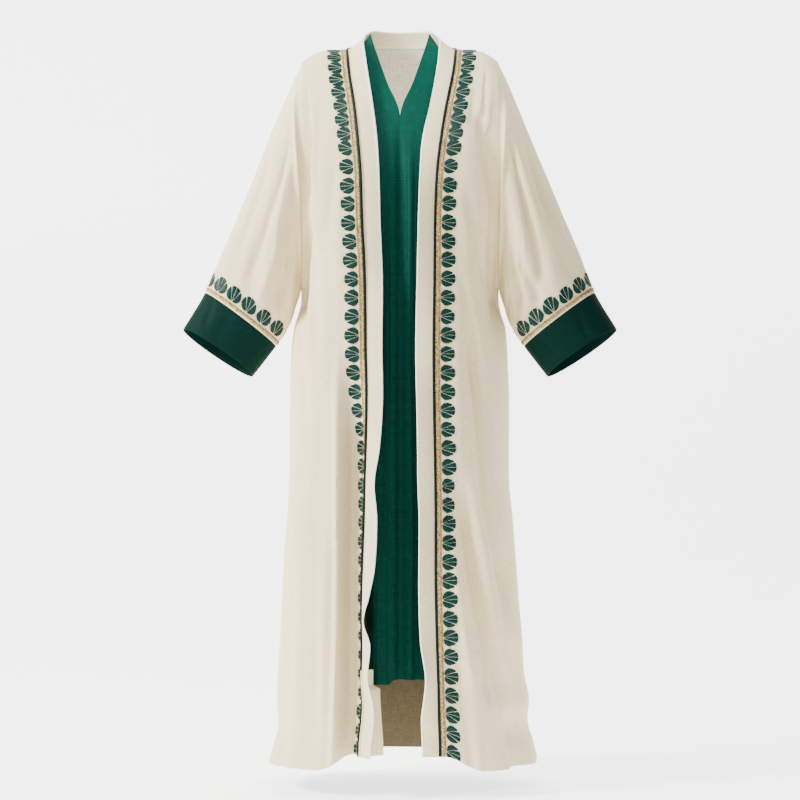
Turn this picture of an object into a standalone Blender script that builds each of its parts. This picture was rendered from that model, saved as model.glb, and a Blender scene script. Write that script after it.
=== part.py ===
"""Long open-front robe of cream linen with a green inner front, filled out as if worn.

Frame: metres, +Z up, the robe's front faces -Y and the wearer's left is +X.
The origin is the point between the two neck ends of the shoulder seams, where it is worn.
Every cloth piece is a wall with its own named object, cut where a maker would seam it.
"""
from bisect import bisect_right
from collections import namedtuple
from math import cos, exp, pi, sin, sqrt

import bmesh
import bpy
from mathutils import Vector

# Driving sizes of the cut, in metres
HEM_DROP = 1.418
ARMPIT_DROP = 0.478
BAND_WIDTH = 0.0352
BRAID_WIDTH = 0.0130
CUFF_BRAID_WIDTH = 0.0110
CUFF_REACH = 0.5017
SLEEVE_REACH = 0.5870
NECK_SHARE = 0.5
INNER_HEM_DROP = 1.2557

# Thickness of each kind of wall and the play left between pieces
LINEN = 0.0016
CREPE = 0.0012
CUFF = 0.0020
BAND = 0.0024
BRAID = 0.0012
PIPING = 0.0020
PIPING_PROUD = 0.0007
PIPING_HALF = 0.0008
SEAM_PLAY = 0.00015
PIPED_PLAY = 0.00125
CORNER_PLAY = 0.0020
LAID_PLAY = 0.0003
SHARP_ANGLE = 1.0
SHARE_ANGLE = 1.3
UNDERARM_PLAY = 0.0006

# Grid steps: rows down the body, rows from shoulder to armpit, columns across each piece
UPPER_STEPS = 10
LOWER_STEPS = 15
NECK_STEPS = 4
FRONT_STEPS = 9
BACK_STEPS = 7
SLEEVE_STEPS = 11
CUFF_STEPS = 3
ROW_SAMPLES = 80
TRIM_DISTANCES = (0.0, BRAID_WIDTH, 0.0280, 0.0430)

# Shape of the cloth's arches: 2 is an ellipse, more is squarer
ARCH_POWER = 2.3
CHEST_PROFILE = 1.7
YOKE_PROFILE = 2.1
ARMHOLE_REACH = 2
UNDERARM_REACH = 5
SHOULDER_RISE = 0.011
CHEST_FULL_DROP = 0.30
CHEST_FORWARD = 0.128

# Front opening seam on the wearer's right and left, by drop below the neck point
SeamRow = namedtuple("SeamRow", "drop right_x left_x")
OPENING_SEAM = (
    SeamRow(0.000, 0.1050, 0.1110),
    SeamRow(0.050, 0.1006, 0.1050),
    SeamRow(0.130, 0.0887, 0.0890),
    SeamRow(0.194, 0.0820, 0.0787),
    SeamRow(0.257, 0.0768, 0.0712),
    SeamRow(0.349, 0.0738, 0.0674),
    SeamRow(0.460, 0.0683, 0.0665),
    SeamRow(0.600, 0.0660, 0.0652),
    SeamRow(0.700, 0.0644, 0.0655),
    SeamRow(0.885, 0.0677, 0.0683),
    SeamRow(1.050, 0.0730, 0.0685),
    SeamRow(1.170, 0.0728, 0.0708),
    SeamRow(1.250, 0.0734, 0.0726),
    SeamRow(1.310, 0.0720, 0.0742),
    SeamRow(1.390, 0.0790, 0.0767),
)

# Free edge of the band, and how far it rises above its seam near the neck
FreeRow = namedtuple("FreeRow", "drop right_x left_x rise")
BAND_EDGE = (
    FreeRow(0.000, 0.0732, 0.0792, 0.018),
    FreeRow(0.050, 0.0655, 0.0735, 0.013),
    FreeRow(0.130, 0.0522, 0.0580, 0.008),
    FreeRow(0.194, 0.0440, 0.0430, 0.004),
    FreeRow(0.257, 0.0400, 0.0382, 0.000),
    FreeRow(0.349, 0.0378, 0.0352, 0.000),
    FreeRow(0.460, 0.0335, 0.0325, 0.000),
    FreeRow(0.600, 0.0346, 0.0295, 0.000),
    FreeRow(0.700, 0.0335, 0.0317, 0.000),
    FreeRow(0.790, 0.0395, 0.0333, 0.000),
    FreeRow(0.860, 0.0503, 0.0338, 0.000),
    FreeRow(0.930, 0.0450, 0.0365, 0.000),
    FreeRow(1.020, 0.0490, 0.0358, 0.000),
    FreeRow(1.075, 0.0600, 0.0357, 0.000),
    FreeRow(1.125, 0.0722, 0.0368, 0.000),
    FreeRow(1.172, 0.0590, 0.0395, 0.000),
    FreeRow(1.245, 0.0640, 0.0491, 0.000),
    FreeRow(1.300, 0.0535, 0.0450, 0.000),
    FreeRow(1.340, 0.0510, 0.0404, 0.000),
    FreeRow(1.400, 0.0575, 0.0422, 0.000),
)

# Neck seam and standing edge from the centre back, 0, to the shoulder, 1
NeckRow = namedtuple("NeckRow", "share seam_x seam_y seam_z free_x free_y free_z")
NECK = (
    NeckRow(0.00, 0.000, 0.0850, 0.0144, 0.0000, 0.0720, 0.0465),
    NeckRow(0.25, 0.036, 0.0810, 0.0144, 0.0300, 0.0680, 0.0470),
    NeckRow(0.50, 0.068, 0.0640, 0.0125, 0.0560, 0.0500, 0.0462),
    NeckRow(0.75, 0.092, 0.0340, 0.0075, 0.0700, 0.0240, 0.0350),
    NeckRow(1.00, 0.108, 0.0000, 0.0000, 0.0762, 0.0000, 0.0180),
)

# Half widths at the side seams and depths at the opening and centre back
BodyRow = namedtuple("BodyRow", "drop right_x left_x front back")
BODY = (
    BodyRow(0.300, 0.1975, 0.1975, 0.128, 0.132),
    BodyRow(0.400, 0.1975, 0.1975, 0.130, 0.127),
    BodyRow(0.478, 0.1975, 0.1975, 0.131, 0.125),
    BodyRow(0.510, 0.1985, 0.1980, 0.132, 0.126),
    BodyRow(0.560, 0.2125, 0.2095, 0.133, 0.129),
    BodyRow(0.620, 0.2180, 0.2140, 0.135, 0.132),
    BodyRow(0.700, 0.2200, 0.2180, 0.138, 0.138),
    BodyRow(0.860, 0.2220, 0.2185, 0.146, 0.146),
    BodyRow(0.940, 0.2260, 0.2260, 0.150, 0.151),
    BodyRow(1.020, 0.2320, 0.2320, 0.155, 0.157),
    BodyRow(1.100, 0.2360, 0.2380, 0.159, 0.162),
    BodyRow(1.180, 0.2400, 0.2440, 0.163, 0.167),
    BodyRow(1.250, 0.2440, 0.2470, 0.166, 0.171),
    BodyRow(1.300, 0.2460, 0.2560, 0.168, 0.173),
    BodyRow(1.350, 0.2440, 0.2530, 0.170, 0.176),
    BodyRow(1.385, 0.2520, 0.2640, 0.172, 0.178),
    BodyRow(1.420, 0.2620, 0.2740, 0.174, 0.180),
)

# Centre back line above the armpits, by share of the way down
BACK_RISE = (
    (0.00, 0.085), (0.08, 0.103), (0.20, 0.119), (0.34, 0.129),
    (0.50, 0.133), (0.75, 0.130), (1.00, 0.125),
)

# Sleeve sections, by reach along the top line from the armhole to the cuff's end
SleeveRow = namedtuple("SleeveRow", "reach top_x top_drop under_x under_drop half_depth centre_y lean")
SLEEVE = (
    SleeveRow(0.0000, 0.1950, 0.0240, 0.1975, 0.4780, 0.0940, 0.000, 0.000),
    SleeveRow(0.0990, 0.2340, 0.1150, 0.1995, 0.4870, 0.0980, -0.002, 0.000),
    SleeveRow(0.2120, 0.2760, 0.2200, 0.2025, 0.4980, 0.0900, -0.006, 0.000),
    SleeveRow(0.3206, 0.3180, 0.3200, 0.2080, 0.5150, 0.0770, -0.012, 0.000),
    SleeveRow(0.4075, 0.3520, 0.4000, 0.2190, 0.5490, 0.0640, -0.016, 0.002),
    SleeveRow(CUFF_REACH, 0.3880, 0.4870, 0.2475, 0.5930, 0.0500, -0.020, 0.006),
    SleeveRow(SLEEVE_REACH, 0.4316, 0.5605, 0.2935, 0.6530, 0.0410, -0.024, 0.010),
)
GROOVE = 0.50
GROOVE_REACH = 0.28

# Creases: side, where they run as drop and x, half width, depth inwards
Crease = namedtuple("Crease", "side run half_width depth")
CREASES = (
    Crease(1, ((0.50, 0.132), (0.74, 0.155), (0.90, 0.171), (1.05, 0.205), (1.18, 0.222)), 0.016, 0.010),
    Crease(1, ((0.80, 0.108), (0.97, 0.132), (1.13, 0.163), (1.28, 0.204), (1.42, 0.238)), 0.021, 0.017),
    Crease(1, ((1.10, 0.137), (1.20, 0.155), (1.30, 0.182)), 0.013, 0.007),
    Crease(1, ((0.12, 0.158), (0.19, 0.172), (0.26, 0.186), (0.31, 0.190)), 0.014, 0.012),
    Crease(-1, ((0.14, 0.176), (0.22, 0.186), (0.31, 0.190)), 0.012, 0.010),
    Crease(-1, ((0.60, 0.150), (0.95, 0.172), (1.42, 0.196)), 0.026, 0.006),
)

# The wearer's right front dips beside its opening behind a steep wall, which turns its trim sideways
DipRow = namedtuple("DipRow", "drop x depth half_width wall")
DIP = (
    DipRow(0.600, 0.0900, 0.000, 0.030, 0.030),
    DipRow(0.700, 0.0920, 0.016, 0.030, 0.022),
    DipRow(0.780, 0.0950, 0.038, 0.031, 0.014),
    DipRow(0.880, 0.0960, 0.047, 0.032, 0.011),
    DipRow(0.980, 0.0970, 0.050, 0.033, 0.008),
    DipRow(1.060, 0.0980, 0.052, 0.034, 0.004),
    DipRow(1.250, 0.0990, 0.052, 0.036, 0.004),
    DipRow(1.340, 0.1010, 0.048, 0.038, 0.007),
    DipRow(1.420, 0.1030, 0.044, 0.040, 0.010),
)
DIP_REST = 0.45

# Waves round the hem: waves in half a turn, start angle, share of the depth
WAVES = ((3.6, 0.7, 0.60), (5.7, 2.1, 0.40))
BACK_WAVE_DEPTH = 0.013
SIDE_WAVE_DEPTH = 0.006
WAVE_START_DROP = 0.50

# Inner front: neck edge or centre line, a station under the band, and outer edge
InnerRow = namedtuple("InnerRow", "key edge_x edge_y edge_z mid_x mid_y mid_z outer_x outer_y outer_z")
INNER = (
    InnerRow(0.0, 0.0590, 0.024, 0.0365, 0.083, 0.001, -0.0010, 0.150, -0.005, -0.0154),
    InnerRow(0.8, 0.0500, -0.008, 0.0030, 0.088, -0.022, -0.0110, 0.150, -0.024, -0.0280),
    InnerRow(1.9, 0.0255, -0.060, -0.0720, 0.082, -0.054, -0.0760, 0.150, -0.048, -0.0850),
    InnerRow(3.0, 0.0000, -0.089, -0.1410, 0.080, -0.083, -0.1410, 0.152, -0.064, -0.1410),
    InnerRow(4.0, 0.0000, -0.107, -0.2500, 0.078, -0.099, -0.2500, 0.152, -0.070, -0.2500),
    InnerRow(5.5, 0.0000, -0.111, -0.4500, 0.078, -0.102, -0.4500, 0.148, -0.066, -0.4500),
    InnerRow(8.0, 0.0000, -0.106, -0.7500, 0.082, -0.096, -0.7500, 0.155, -0.062, -0.7500),
    InnerRow(10.0, 0.0000, -0.108, -1.0000, 0.086, -0.098, -1.0000, 0.162, -0.062, -1.0000),
    InnerRow(12.0, 0.0000, -0.112, -INNER_HEM_DROP, 0.090, -0.101, -INNER_HEM_DROP,
             0.172, -0.062, -INNER_HEM_DROP),
)
V_POINT_KEY = 3.0
V_STEPS = 5
INNER_LOWER_STEPS = 15
INNER_STATIONS = (0.0, 0.006, 0.013, 0.020, 0.027, 0.034, 0.041, 0.048, 0.057, 0.070, 0.088, 0.108, 0.130)
PLEAT_HALF_WIDTH = 0.0065
PLEAT_DEPTH = 0.0075
GATHER_PITCH = 0.034
GATHER_DEPTH = 0.0022
GATHER_REACH = 0.075
INNER_STEP = 0.009
TURN_X = 0.056
TURN_SLANT = 0.100
TURN_FIRST_KEY = 7.0
TURN_IN = 0.88
TURN_BACK = 0.28
DIP_ROOM = 0.012
RIDGE = 0.009
RIDGE_X = 0.033
RIDGE_HALF_WIDTH = 0.013

# Facing behind the wearer's right band, seen below the inner front
FACING_EDGE_X = (0.0515, 0.0382, 0.0349, 0.0314)
FACING_EDGE_Y = -0.150
FACING_SHARE = 0.3
FACING_PLAY = 0.0025

SLOTS = {
    "linen": ((0.74, 0.69, 0.58, 1.0), 0.85),
    "green_cloth": ((0.008, 0.075, 0.055, 1.0), 0.70),
    "gold_braid": ((0.42, 0.28, 0.10, 1.0), 0.55),
    "dark_piping": ((0.006, 0.030, 0.024, 1.0), 0.60),
}
SIDE_NAMES = {-1: "right", 1: "left"}

# A grid of outer points; around joins its last column to its first, flip turns its faces over
Sheet = namedtuple("Sheet", "grid around flip")


def smooth_table(rows):
    """Return a function that reads a table's columns at any key, on a smooth curve."""
    keys = [row[0] for row in rows]

    def slope(k, column):
        low = max(k - 1, 0)
        high = min(k + 1, len(rows) - 1)
        return (rows[high][column] - rows[low][column]) / (keys[high] - keys[low])

    def read(key):
        key = min(max(key, keys[0]), keys[-1])
        k = min(bisect_right(keys, key) - 1, len(rows) - 2)
        span = keys[k + 1] - keys[k]
        f = (key - keys[k]) / span
        values = []
        for column in range(1, len(rows[0])):
            start = rows[k][column]
            end = rows[k + 1][column]
            value = start * (1 + 2 * f) * (1 - f) ** 2 + end * f * f * (3 - 2 * f)
            value += slope(k, column) * span * f * (1 - f) ** 2
            value -= slope(k + 1, column) * span * f * f * (1 - f)
            values.append(value)
        return values

    return read


read_seam = smooth_table(OPENING_SEAM)
read_free = smooth_table(BAND_EDGE)
read_neck = smooth_table(NECK)
read_body = smooth_table(BODY)
read_back_rise = smooth_table(BACK_RISE)
read_sleeve = smooth_table(SLEEVE)
read_dip = smooth_table(DIP)
read_inner = smooth_table(INNER)
CREASE_RUNS = [smooth_table(crease.run) for crease in CREASES]


def pick(values, side):
    """Take the wearer's right or left value of a pair."""
    return values[0] if side < 0 else values[1]


def fade(value, start, end):
    """Ease from 0 at start to 1 at end."""
    f = min(max((value - start) / (end - start), 0.0), 1.0)
    return f * f * (3 - 2 * f)


def height_share(t):
    """Share of the way from shoulder to armpit, for rows 0 to 1."""
    return (1 - cos(pi * t)) / 2


def drop_at(t):
    """Drop below the neck point: rows 0 to 1 reach the armpit, 1 to 2 the hem."""
    if t <= 1:
        return ARMPIT_DROP * height_share(t)
    return ARMPIT_DROP + (HEM_DROP - ARMPIT_DROP) * (t - 1)


def forward_at(drop):
    """How far the opening's edge stands forward of the shoulder line."""
    if drop >= CHEST_FULL_DROP:
        return read_body(drop)[2]
    share = drop / CHEST_FULL_DROP
    return CHEST_FORWARD * (1 - (1 - share) ** CHEST_PROFILE) ** (1 / CHEST_PROFILE)


def opening_point(side, t):
    """Seam between a front and its band."""
    drop = drop_at(t)
    x = pick(read_seam(drop), side)
    return Vector((side * x, -forward_at(drop), -drop))


def centre_back_point(t):
    """Centre line of the back."""
    if t <= 1:
        share = height_share(t)
        neck_z = NECK[0].seam_z
        return Vector((0, read_back_rise(share)[0], neck_z - (neck_z + ARMPIT_DROP) * share))
    drop = drop_at(t)
    return Vector((0, read_body(drop)[3], -drop))


def sleeve_point(side, reach, angle):
    """Point on a sleeve: angle 0 is the top, pi the underarm, and the front lies between."""
    top_x, top_drop, under_x, under_drop, half_depth, centre_y, lean = read_sleeve(reach)
    along = cos(angle)
    across = sin(angle)
    depth = half_depth * across
    groove = GROOVE * (1 - fade(reach, 0, GROOVE_REACH))
    depth *= 1 - groove * ((1 - along) / 2) ** 2
    x = (top_x + under_x) / 2 + (top_x - under_x) / 2 * along
    z = -(top_drop + under_drop) / 2 - (top_drop - under_drop) / 2 * along
    fall = Vector((0.51, 0, -0.86)) * (-lean * across)
    return Vector((side * (x + fall.x), centre_y - depth, z + fall.z))


def side_point(side, t, back):
    """Armhole edge for rows 0 to 1 and side seam for rows 1 to 2."""
    if t <= 1:
        angle = pi * t
        return sleeve_point(side, 0, -angle if back else angle)
    drop = drop_at(t)
    return Vector((side * pick(read_body(drop), side), 0, -drop))


def shoulder_point(side, share):
    """Shoulder seam from the neck to the armhole, a little rounded."""
    point = opening_point(side, 0).lerp(side_point(side, 0, False), share)
    point.z += SHOULDER_RISE * sin(pi * share ** 1.3)
    return point


def arch(start, end, u):
    """Quarter arch between two points of a row, flat at its start."""
    across = sin(u * pi / 2) ** (2 / ARCH_POWER)
    down = cos(u * pi / 2) ** (2 / ARCH_POWER) if u < 1 else 0.0
    x = start.x + (end.x - start.x) * across
    y = end.y + (start.y - end.y) * down
    z = start.z + (end.z - start.z) * u
    return Vector((x, y, z))


def patch(u, t, top, low, near, far):
    """Blend four edges into one yoke surface, which swells out early and then hangs straight."""
    share = height_share(t)
    swell = (1 - (1 - share) ** YOKE_PROFILE) ** (1 / YOKE_PROFILE)
    shares = Vector((share, swell, share))
    rests = Vector((1 - share, 1 - swell, 1 - share))
    reach = u ** (ARMHOLE_REACH + UNDERARM_REACH * t ** 8)
    outer = Vector((u, reach, u))
    inner = Vector((1 - u, 1 - reach, 1 - u))
    ruled = top(u) * rests + low(u) * shares
    sides = near(t) * inner + far(t) * outer
    first = near(0) * inner + far(0) * outer
    last = near(1) * inner + far(1) * outer
    return ruled + sides - first * rests - last * shares


def hem_lift(x, t):
    """The fronts' corners hang a little higher than the rest of the hem."""
    near_band = 1 - fade(abs(x), 0.085, 0.165)
    return 0.030 * near_band * fade(t, 1.70, 2.0)


def crease_depth(side, x, drop):
    """Depth of the creases of one front at a place."""
    depth = 0.0
    for crease, run in zip(CREASES, CREASE_RUNS):
        if crease.side != side:
            continue
        first = crease.run[0][0]
        last = crease.run[-1][0]
        tail = 0.25 * (last - first)
        ends = fade(drop, first, first + tail)
        if last < HEM_DROP:
            ends *= 1 - fade(drop, last - tail, last)
        offset = (abs(x) - run(drop)[0]) / crease.half_width
        depth += crease.depth * ends * exp(-offset * offset)
    return depth


def dip_depth(x, drop, seam_x):
    """Depth of the dip beside the wearer's right opening, which flattens out towards the side."""
    centre, depth, half_width, wall = read_dip(drop)
    offset = abs(x) - centre
    share = min(abs(offset) / half_width, 1.0)
    rest = DIP_REST * (1 - fade(abs(x), centre, 2 * centre))
    bottom = rest + (1 - rest) * (0.5 + 0.5 * cos(pi * share))
    up = 1 - min(max(abs(x) - seam_x, 0.0) / wall, 1.0)
    return depth * bottom * (1 - up ** 3)


def wave_depth(u, drop):
    """Soft waves that deepen towards the hem; u runs from centre to side."""
    grow = fade(drop, WAVE_START_DROP, HEM_DROP)
    depth = 0.0
    for count, start, share in WAVES:
        depth += share * sin(count * pi * u + start)
    return depth * grow


def front_surface(side, u, t):
    """One front: u from the opening to the side, t down from the shoulder."""
    def near(v):
        return opening_point(side, v)

    def far(v):
        return side_point(side, v, False)

    if t <= 1:
        point = patch(u, t, lambda w: shoulder_point(side, w), lambda w: arch(near(1), far(1), w), near, far)
    else:
        point = arch(near(t), far(t), u)
    drop = drop_at(t)
    depth = crease_depth(side, point.x, drop)
    depth += SIDE_WAVE_DEPTH * wave_depth(side * u, drop) * sin(pi * u)
    depth *= fade(u, 0, 0.02)
    if side < 0:
        depth += dip_depth(point.x, drop, read_seam(drop)[0])
    depth *= 1 - fade(u, 0.97, 1.0)
    outward = Vector((side * sin(u * pi / 2), -cos(u * pi / 2), 0))
    point -= outward * depth
    point.z += hem_lift(point.x, t)
    return point


def neck_seam(side, share):
    """Neck seam from the centre back to the shoulder."""
    x, y, z = read_neck(share)[:3]
    end = pick(OPENING_SEAM[0][1:], side) / NECK[-1].seam_x
    return Vector((side * x * (1 + (end - 1) * share), y, z))


def back_surface(side, u, t):
    """Half of the back: u from the centre to the side."""
    def near(v):
        return centre_back_point(v)

    def far(v):
        return side_point(side, v, True)

    def top(w):
        if w <= NECK_SHARE:
            return neck_seam(side, w / NECK_SHARE)
        return shoulder_point(side, (w - NECK_SHARE) / (1 - NECK_SHARE))

    if t <= 1:
        point = patch(u, t, top, lambda w: arch(near(1), far(1), w), near, far)
    else:
        point = arch(near(t), far(t), u)
    depth = BACK_WAVE_DEPTH * wave_depth(side * u, drop_at(t)) * (1 - fade(u, 0.8, 1.0))
    outward = Vector((side * sin(u * pi / 2), cos(u * pi / 2), 0))
    return point - outward * depth


def front_row(side, t):
    """Points of one front row: trim lines at set distances, the rest evenly spaced."""
    shares = [(k / ROW_SAMPLES) ** 2 for k in range(ROW_SAMPLES + 1)]
    samples = [front_surface(side, u, t) for u in shares]
    lengths = [0.0]
    for a, b in zip(samples, samples[1:]):
        lengths.append(lengths[-1] + (b - a).length)
    wanted = list(TRIM_DISTANCES)
    rest = lengths[-1] - wanted[-1]
    wanted += [wanted[-1] + rest * k / FRONT_STEPS for k in range(1, FRONT_STEPS + 1)]
    points = []
    for distance in wanted:
        k = min(bisect_right(lengths, distance) - 1, ROW_SAMPLES - 1)
        f = (distance - lengths[k]) / (lengths[k + 1] - lengths[k])
        points.append(front_surface(side, shares[k] + (shares[k + 1] - shares[k]) * f, t))
    points[-1] = side_point(side, t, False)
    return points


def band_free_point(side, t):
    """Free edge of the band beside the opening."""
    seam = opening_point(side, t)
    drop = drop_at(t)
    right_x, left_x, rise = read_free(drop)
    x = pick((right_x, left_x), side)
    dx = abs(seam.x) - x
    forward = sqrt(max(BAND_WIDTH ** 2 - dx * dx - rise * rise, 0.0)) * fade(drop, 0.15, 0.35)
    return Vector((side * x, seam.y - forward, seam.z + rise + hem_lift(seam.x, t)))


def neck_free_point(side, share):
    """Standing edge of the band behind the neck."""
    x, y, z = read_neck(share)[3:]
    end = pick(BAND_EDGE[0][1:3], side) / NECK[-1].free_x
    return Vector((side * x * (1 + (end - 1) * share), y, z))


def band_row(seam, free, crown):
    """Three points across the band, its middle a little proud."""
    middle = (seam + free) / 2
    return [seam, middle + crown, free]


def inner_point(side, key, station):
    """Inner front at a station's distance from its neck edge or centre line."""
    values = read_inner(key)
    edge = Vector(values[0:3])
    if key >= V_POINT_KEY:
        edge.x = 0.0
    mid = Vector(values[3:6])
    outer = Vector(values[6:9])
    share = station / INNER_STATIONS[-1]
    knee = 0.5
    if share <= knee:
        f = share / knee
        point = edge.lerp(mid, f)
    else:
        f = (share - knee) / (1 - knee)
        point = mid.lerp(outer, f)
    smooth = 4 * share * (1 - share)
    below = fade(-point.z, 0.06, 0.20)
    point.y -= 0.006 * smooth * below
    hang = fade(key, V_POINT_KEY, V_POINT_KEY + 1.5)
    offset = point.x / PLEAT_HALF_WIDTH
    gather = GATHER_DEPTH * (1 + 0.8 * fade(key, 4, 12)) * sin(2 * pi * (side * point.x) / GATHER_PITCH + 1.2)
    gather *= 1 - fade(point.x, GATHER_REACH * 0.6, GATHER_REACH)
    point.y += hang * (PLEAT_DEPTH * exp(-offset * offset) + gather * fade(point.x, 0, 0.008))
    point.z += INNER_STEP * fade(side * point.x, -0.022, -0.012) * fade(key, 11.0, 12.0)
    if side < 0:
        lower = fade(key, 5.0, INNER[-1].key)
        offset = (point.x - RIDGE_X) / RIDGE_HALF_WIDTH
        point.y -= RIDGE * lower * exp(-offset * offset)
        point.y += DIP_ROOM * fade(point.x, 0.058, 0.075) * fade(key, 6.5, 8.5)
        limit = TURN_X + TURN_SLANT * (1 - fade(key, TURN_FIRST_KEY, INNER[-1].key - 1))
        over = max(point.x - limit, 0.0)
        point.x -= TURN_IN * over
        point.y += TURN_BACK * over
    return Vector((side * point.x, point.y, point.z))


UPPER = [k / UPPER_STEPS for k in range(UPPER_STEPS + 1)]
ROWS = UPPER + [1 + k / LOWER_STEPS for k in range(1, LOWER_STEPS + 1)]


def front_grid(side):
    """Rows of a front from the shoulder to the hem."""
    return [front_row(side, t) for t in ROWS]


def back_grid():
    """Rows of the back, from the wearer's right to the left."""
    shares = [NECK_SHARE * k / NECK_STEPS for k in range(NECK_STEPS + 1)]
    shares += [NECK_SHARE + (1 - NECK_SHARE) * k / BACK_STEPS for k in range(1, BACK_STEPS + 1)]
    rows = []
    for t in ROWS:
        right = [back_surface(-1, u, t) for u in reversed(shares[1:])]
        left = [back_surface(1, u, t) for u in shares]
        right[0] = side_point(-1, t, True)
        left[-1] = side_point(1, t, True)
        rows.append(right + left)
    middle = len(shares) - 1
    for side in SIDE_NAMES:
        for k, u in enumerate(shares[:NECK_STEPS + 1]):
            rows[1][middle + side * k] = below_neck(side, u)
    return rows


def below_neck(side, u):
    """Point of the back a braid's width below its neck seam."""
    seam = back_surface(side, u, 0)
    low, high = 0.0, 2 * ROWS[1]
    for _ in range(30):
        t = (low + high) / 2
        if (back_surface(side, u, t) - seam).length < BRAID_WIDTH:
            low = t
        else:
            high = t
    return back_surface(side, u, t)


def loop_angles():
    """Angles round a sleeve that meet the rows of the fronts and the back."""
    front = [pi * t for t in UPPER]
    back = [-pi * t for t in reversed(UPPER[1:-1])]
    return front + back


def tube_grid(side, reaches):
    """Rings of a sleeve or cuff at the given reaches."""
    return [[sleeve_point(side, reach, angle) for angle in loop_angles()] for reach in reaches]


def sleeve_reaches():
    """Rings of the sleeve, the last one a braid's width above the cuff."""
    plain = CUFF_REACH - CUFF_BRAID_WIDTH
    return [plain * k / SLEEVE_STEPS for k in range(SLEEVE_STEPS + 1)] + [CUFF_REACH]


def cuff_reaches():
    """Rings of the cuff."""
    length = SLEEVE_REACH - CUFF_REACH
    return [CUFF_REACH + length * k / CUFF_STEPS for k in range(CUFF_STEPS + 1)]


def band_grid(side):
    """Rows of a band from the centre back, over the shoulder and down to the hem."""
    rows = []
    for k in range(NECK_STEPS):
        share = k / NECK_STEPS
        seam = neck_seam(side, share)
        free = neck_free_point(side, share)
        rows.append(band_row(seam, free, Vector((side * 0.001 * share, 0.001 * (1 - share), 0))))
    for t in ROWS:
        seam = opening_point(side, t)
        seam.z += hem_lift(seam.x, t)
        free = band_free_point(side, t)
        rows.append(band_row(seam, free, Vector((0, -0.0015 * fade(t, 0, 0.3), 0))))
    return rows


def grid_normals(grid, around, flip):
    """Sum of the face normals at each point of a grid."""
    columns = len(grid[0])
    sign = -1 if flip else 1
    sums = [[Vector() for _ in row] for row in grid]
    for i in range(len(grid) - 1):
        for j in range(columns if around else columns - 1):
            k = (j + 1) % columns
            corners = ((i, j), (i + 1, j), (i + 1, k), (i, k))
            a, b, c, d = (grid[p][q] for p, q in corners)
            normal = (c - a).cross(d - b) * sign
            for p, q in corners:
                sums[p][q] += normal
    return sums


def place_of(point):
    """Name a place to a millimetre, so that points that meet share it."""
    return tuple(round(value * 1000) for value in point)


def shared_normals(sheets):
    """Outward normals of joined sheets, shared where they meet and face about the same way."""
    found = {}
    sums = [grid_normals(*sheet) for sheet in sheets]
    for sheet, values in zip(sheets, sums):
        for row, row_values in zip(sheet.grid, values):
            for point, value in zip(row, row_values):
                found.setdefault(place_of(point), []).append(value)
    normals = []
    for sheet, values in zip(sheets, sums):
        rows = []
        for row, row_values in zip(sheet.grid, values):
            directions = []
            for point, own in zip(row, row_values):
                alike = [v for v in found[place_of(point)] if v.angle(own) < SHARE_ANGLE]
                directions.append(sum(alike, Vector()).normalized())
            rows.append(directions)
        normals.append(rows)
    return normals


def ease_seam(points, directions):
    """Turn the normals along a seam evenly from its first point to its last."""
    span = (points[-1] - points[0]).length
    first, last = directions[0], directions[-1]
    shares = [(point - points[0]).length / span for point in points]
    return [first.lerp(last, share).normalized() for share in shares]


def back_off(point, neighbour, distance):
    """Move a point towards its neighbour."""
    return point + (neighbour - point).normalized() * distance


def trim_row(grid, i, neighbour, distances):
    """Draw a row back from its seam."""
    if isinstance(distances, float):
        distances = [distances] * len(grid[i])
    grid[i] = [back_off(a, b, d) for a, b, d in zip(grid[i], grid[neighbour], distances)]


def trim_column(grid, j, neighbour, distance):
    """Draw a column back from its seam."""
    for row in grid:
        row[j] = back_off(row[j], row[neighbour], distance)


def make_material(name):
    """Principled material of one slot, made once."""
    if name in bpy.data.materials:
        return bpy.data.materials[name]
    colour, roughness = SLOTS[name]
    material = bpy.data.materials.new(name)
    material.use_nodes = True
    shader = material.node_tree.nodes["Principled BSDF"]
    shader.inputs["Base Color"].default_value = colour
    shader.inputs["Roughness"].default_value = roughness
    shader.inputs["Metallic"].default_value = 0.0
    return material


def cloth(name, sheets, normals, thickness, slot, parent, lift=0.0):
    """One closed cloth wall; its outer face lies on the sheets, moved out by lift."""
    builder = bmesh.new()
    pairs = {}
    edges = set()
    for sheet, directions in zip(sheets, normals):
        columns = len(sheet.grid[0])

        def pair(i, j):
            point = sheet.grid[i][j]
            place = place_of(point)
            if place not in pairs:
                outer = builder.verts.new(point + directions[i][j] * lift)
                inner = builder.verts.new(point + directions[i][j] * (lift - thickness))
                pairs[place] = (outer, inner)
            return place

        for i in range(len(sheet.grid) - 1):
            for j in range(columns if sheet.around else columns - 1):
                k = (j + 1) % columns
                a, b, c, d = pair(i, j), pair(i + 1, j), pair(i + 1, k), pair(i, k)
                for triangle in ((a, b, c), (a, c, d)):
                    ring = triangle[::-1] if sheet.flip else triangle
                    builder.faces.new([pairs[place][0] for place in ring])
                    builder.faces.new([pairs[place][1] for place in ring[::-1]])
                    edges.update(zip(ring, ring[1:] + ring[:1]))
    for a, b in sorted(edges):
        if (b, a) not in edges:
            builder.faces.new((pairs[b][0], pairs[a][0], pairs[a][1], pairs[b][1]))
    mesh = bpy.data.meshes.new(name)
    builder.to_mesh(mesh)
    builder.free()
    mesh.shade_smooth()
    mesh.set_sharp_from_angle(angle=SHARP_ANGLE)
    mesh.materials.append(make_material(slot))
    piece = bpy.data.objects.new(name, mesh)
    bpy.context.collection.objects.link(piece)
    piece.parent = parent
    return piece


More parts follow.
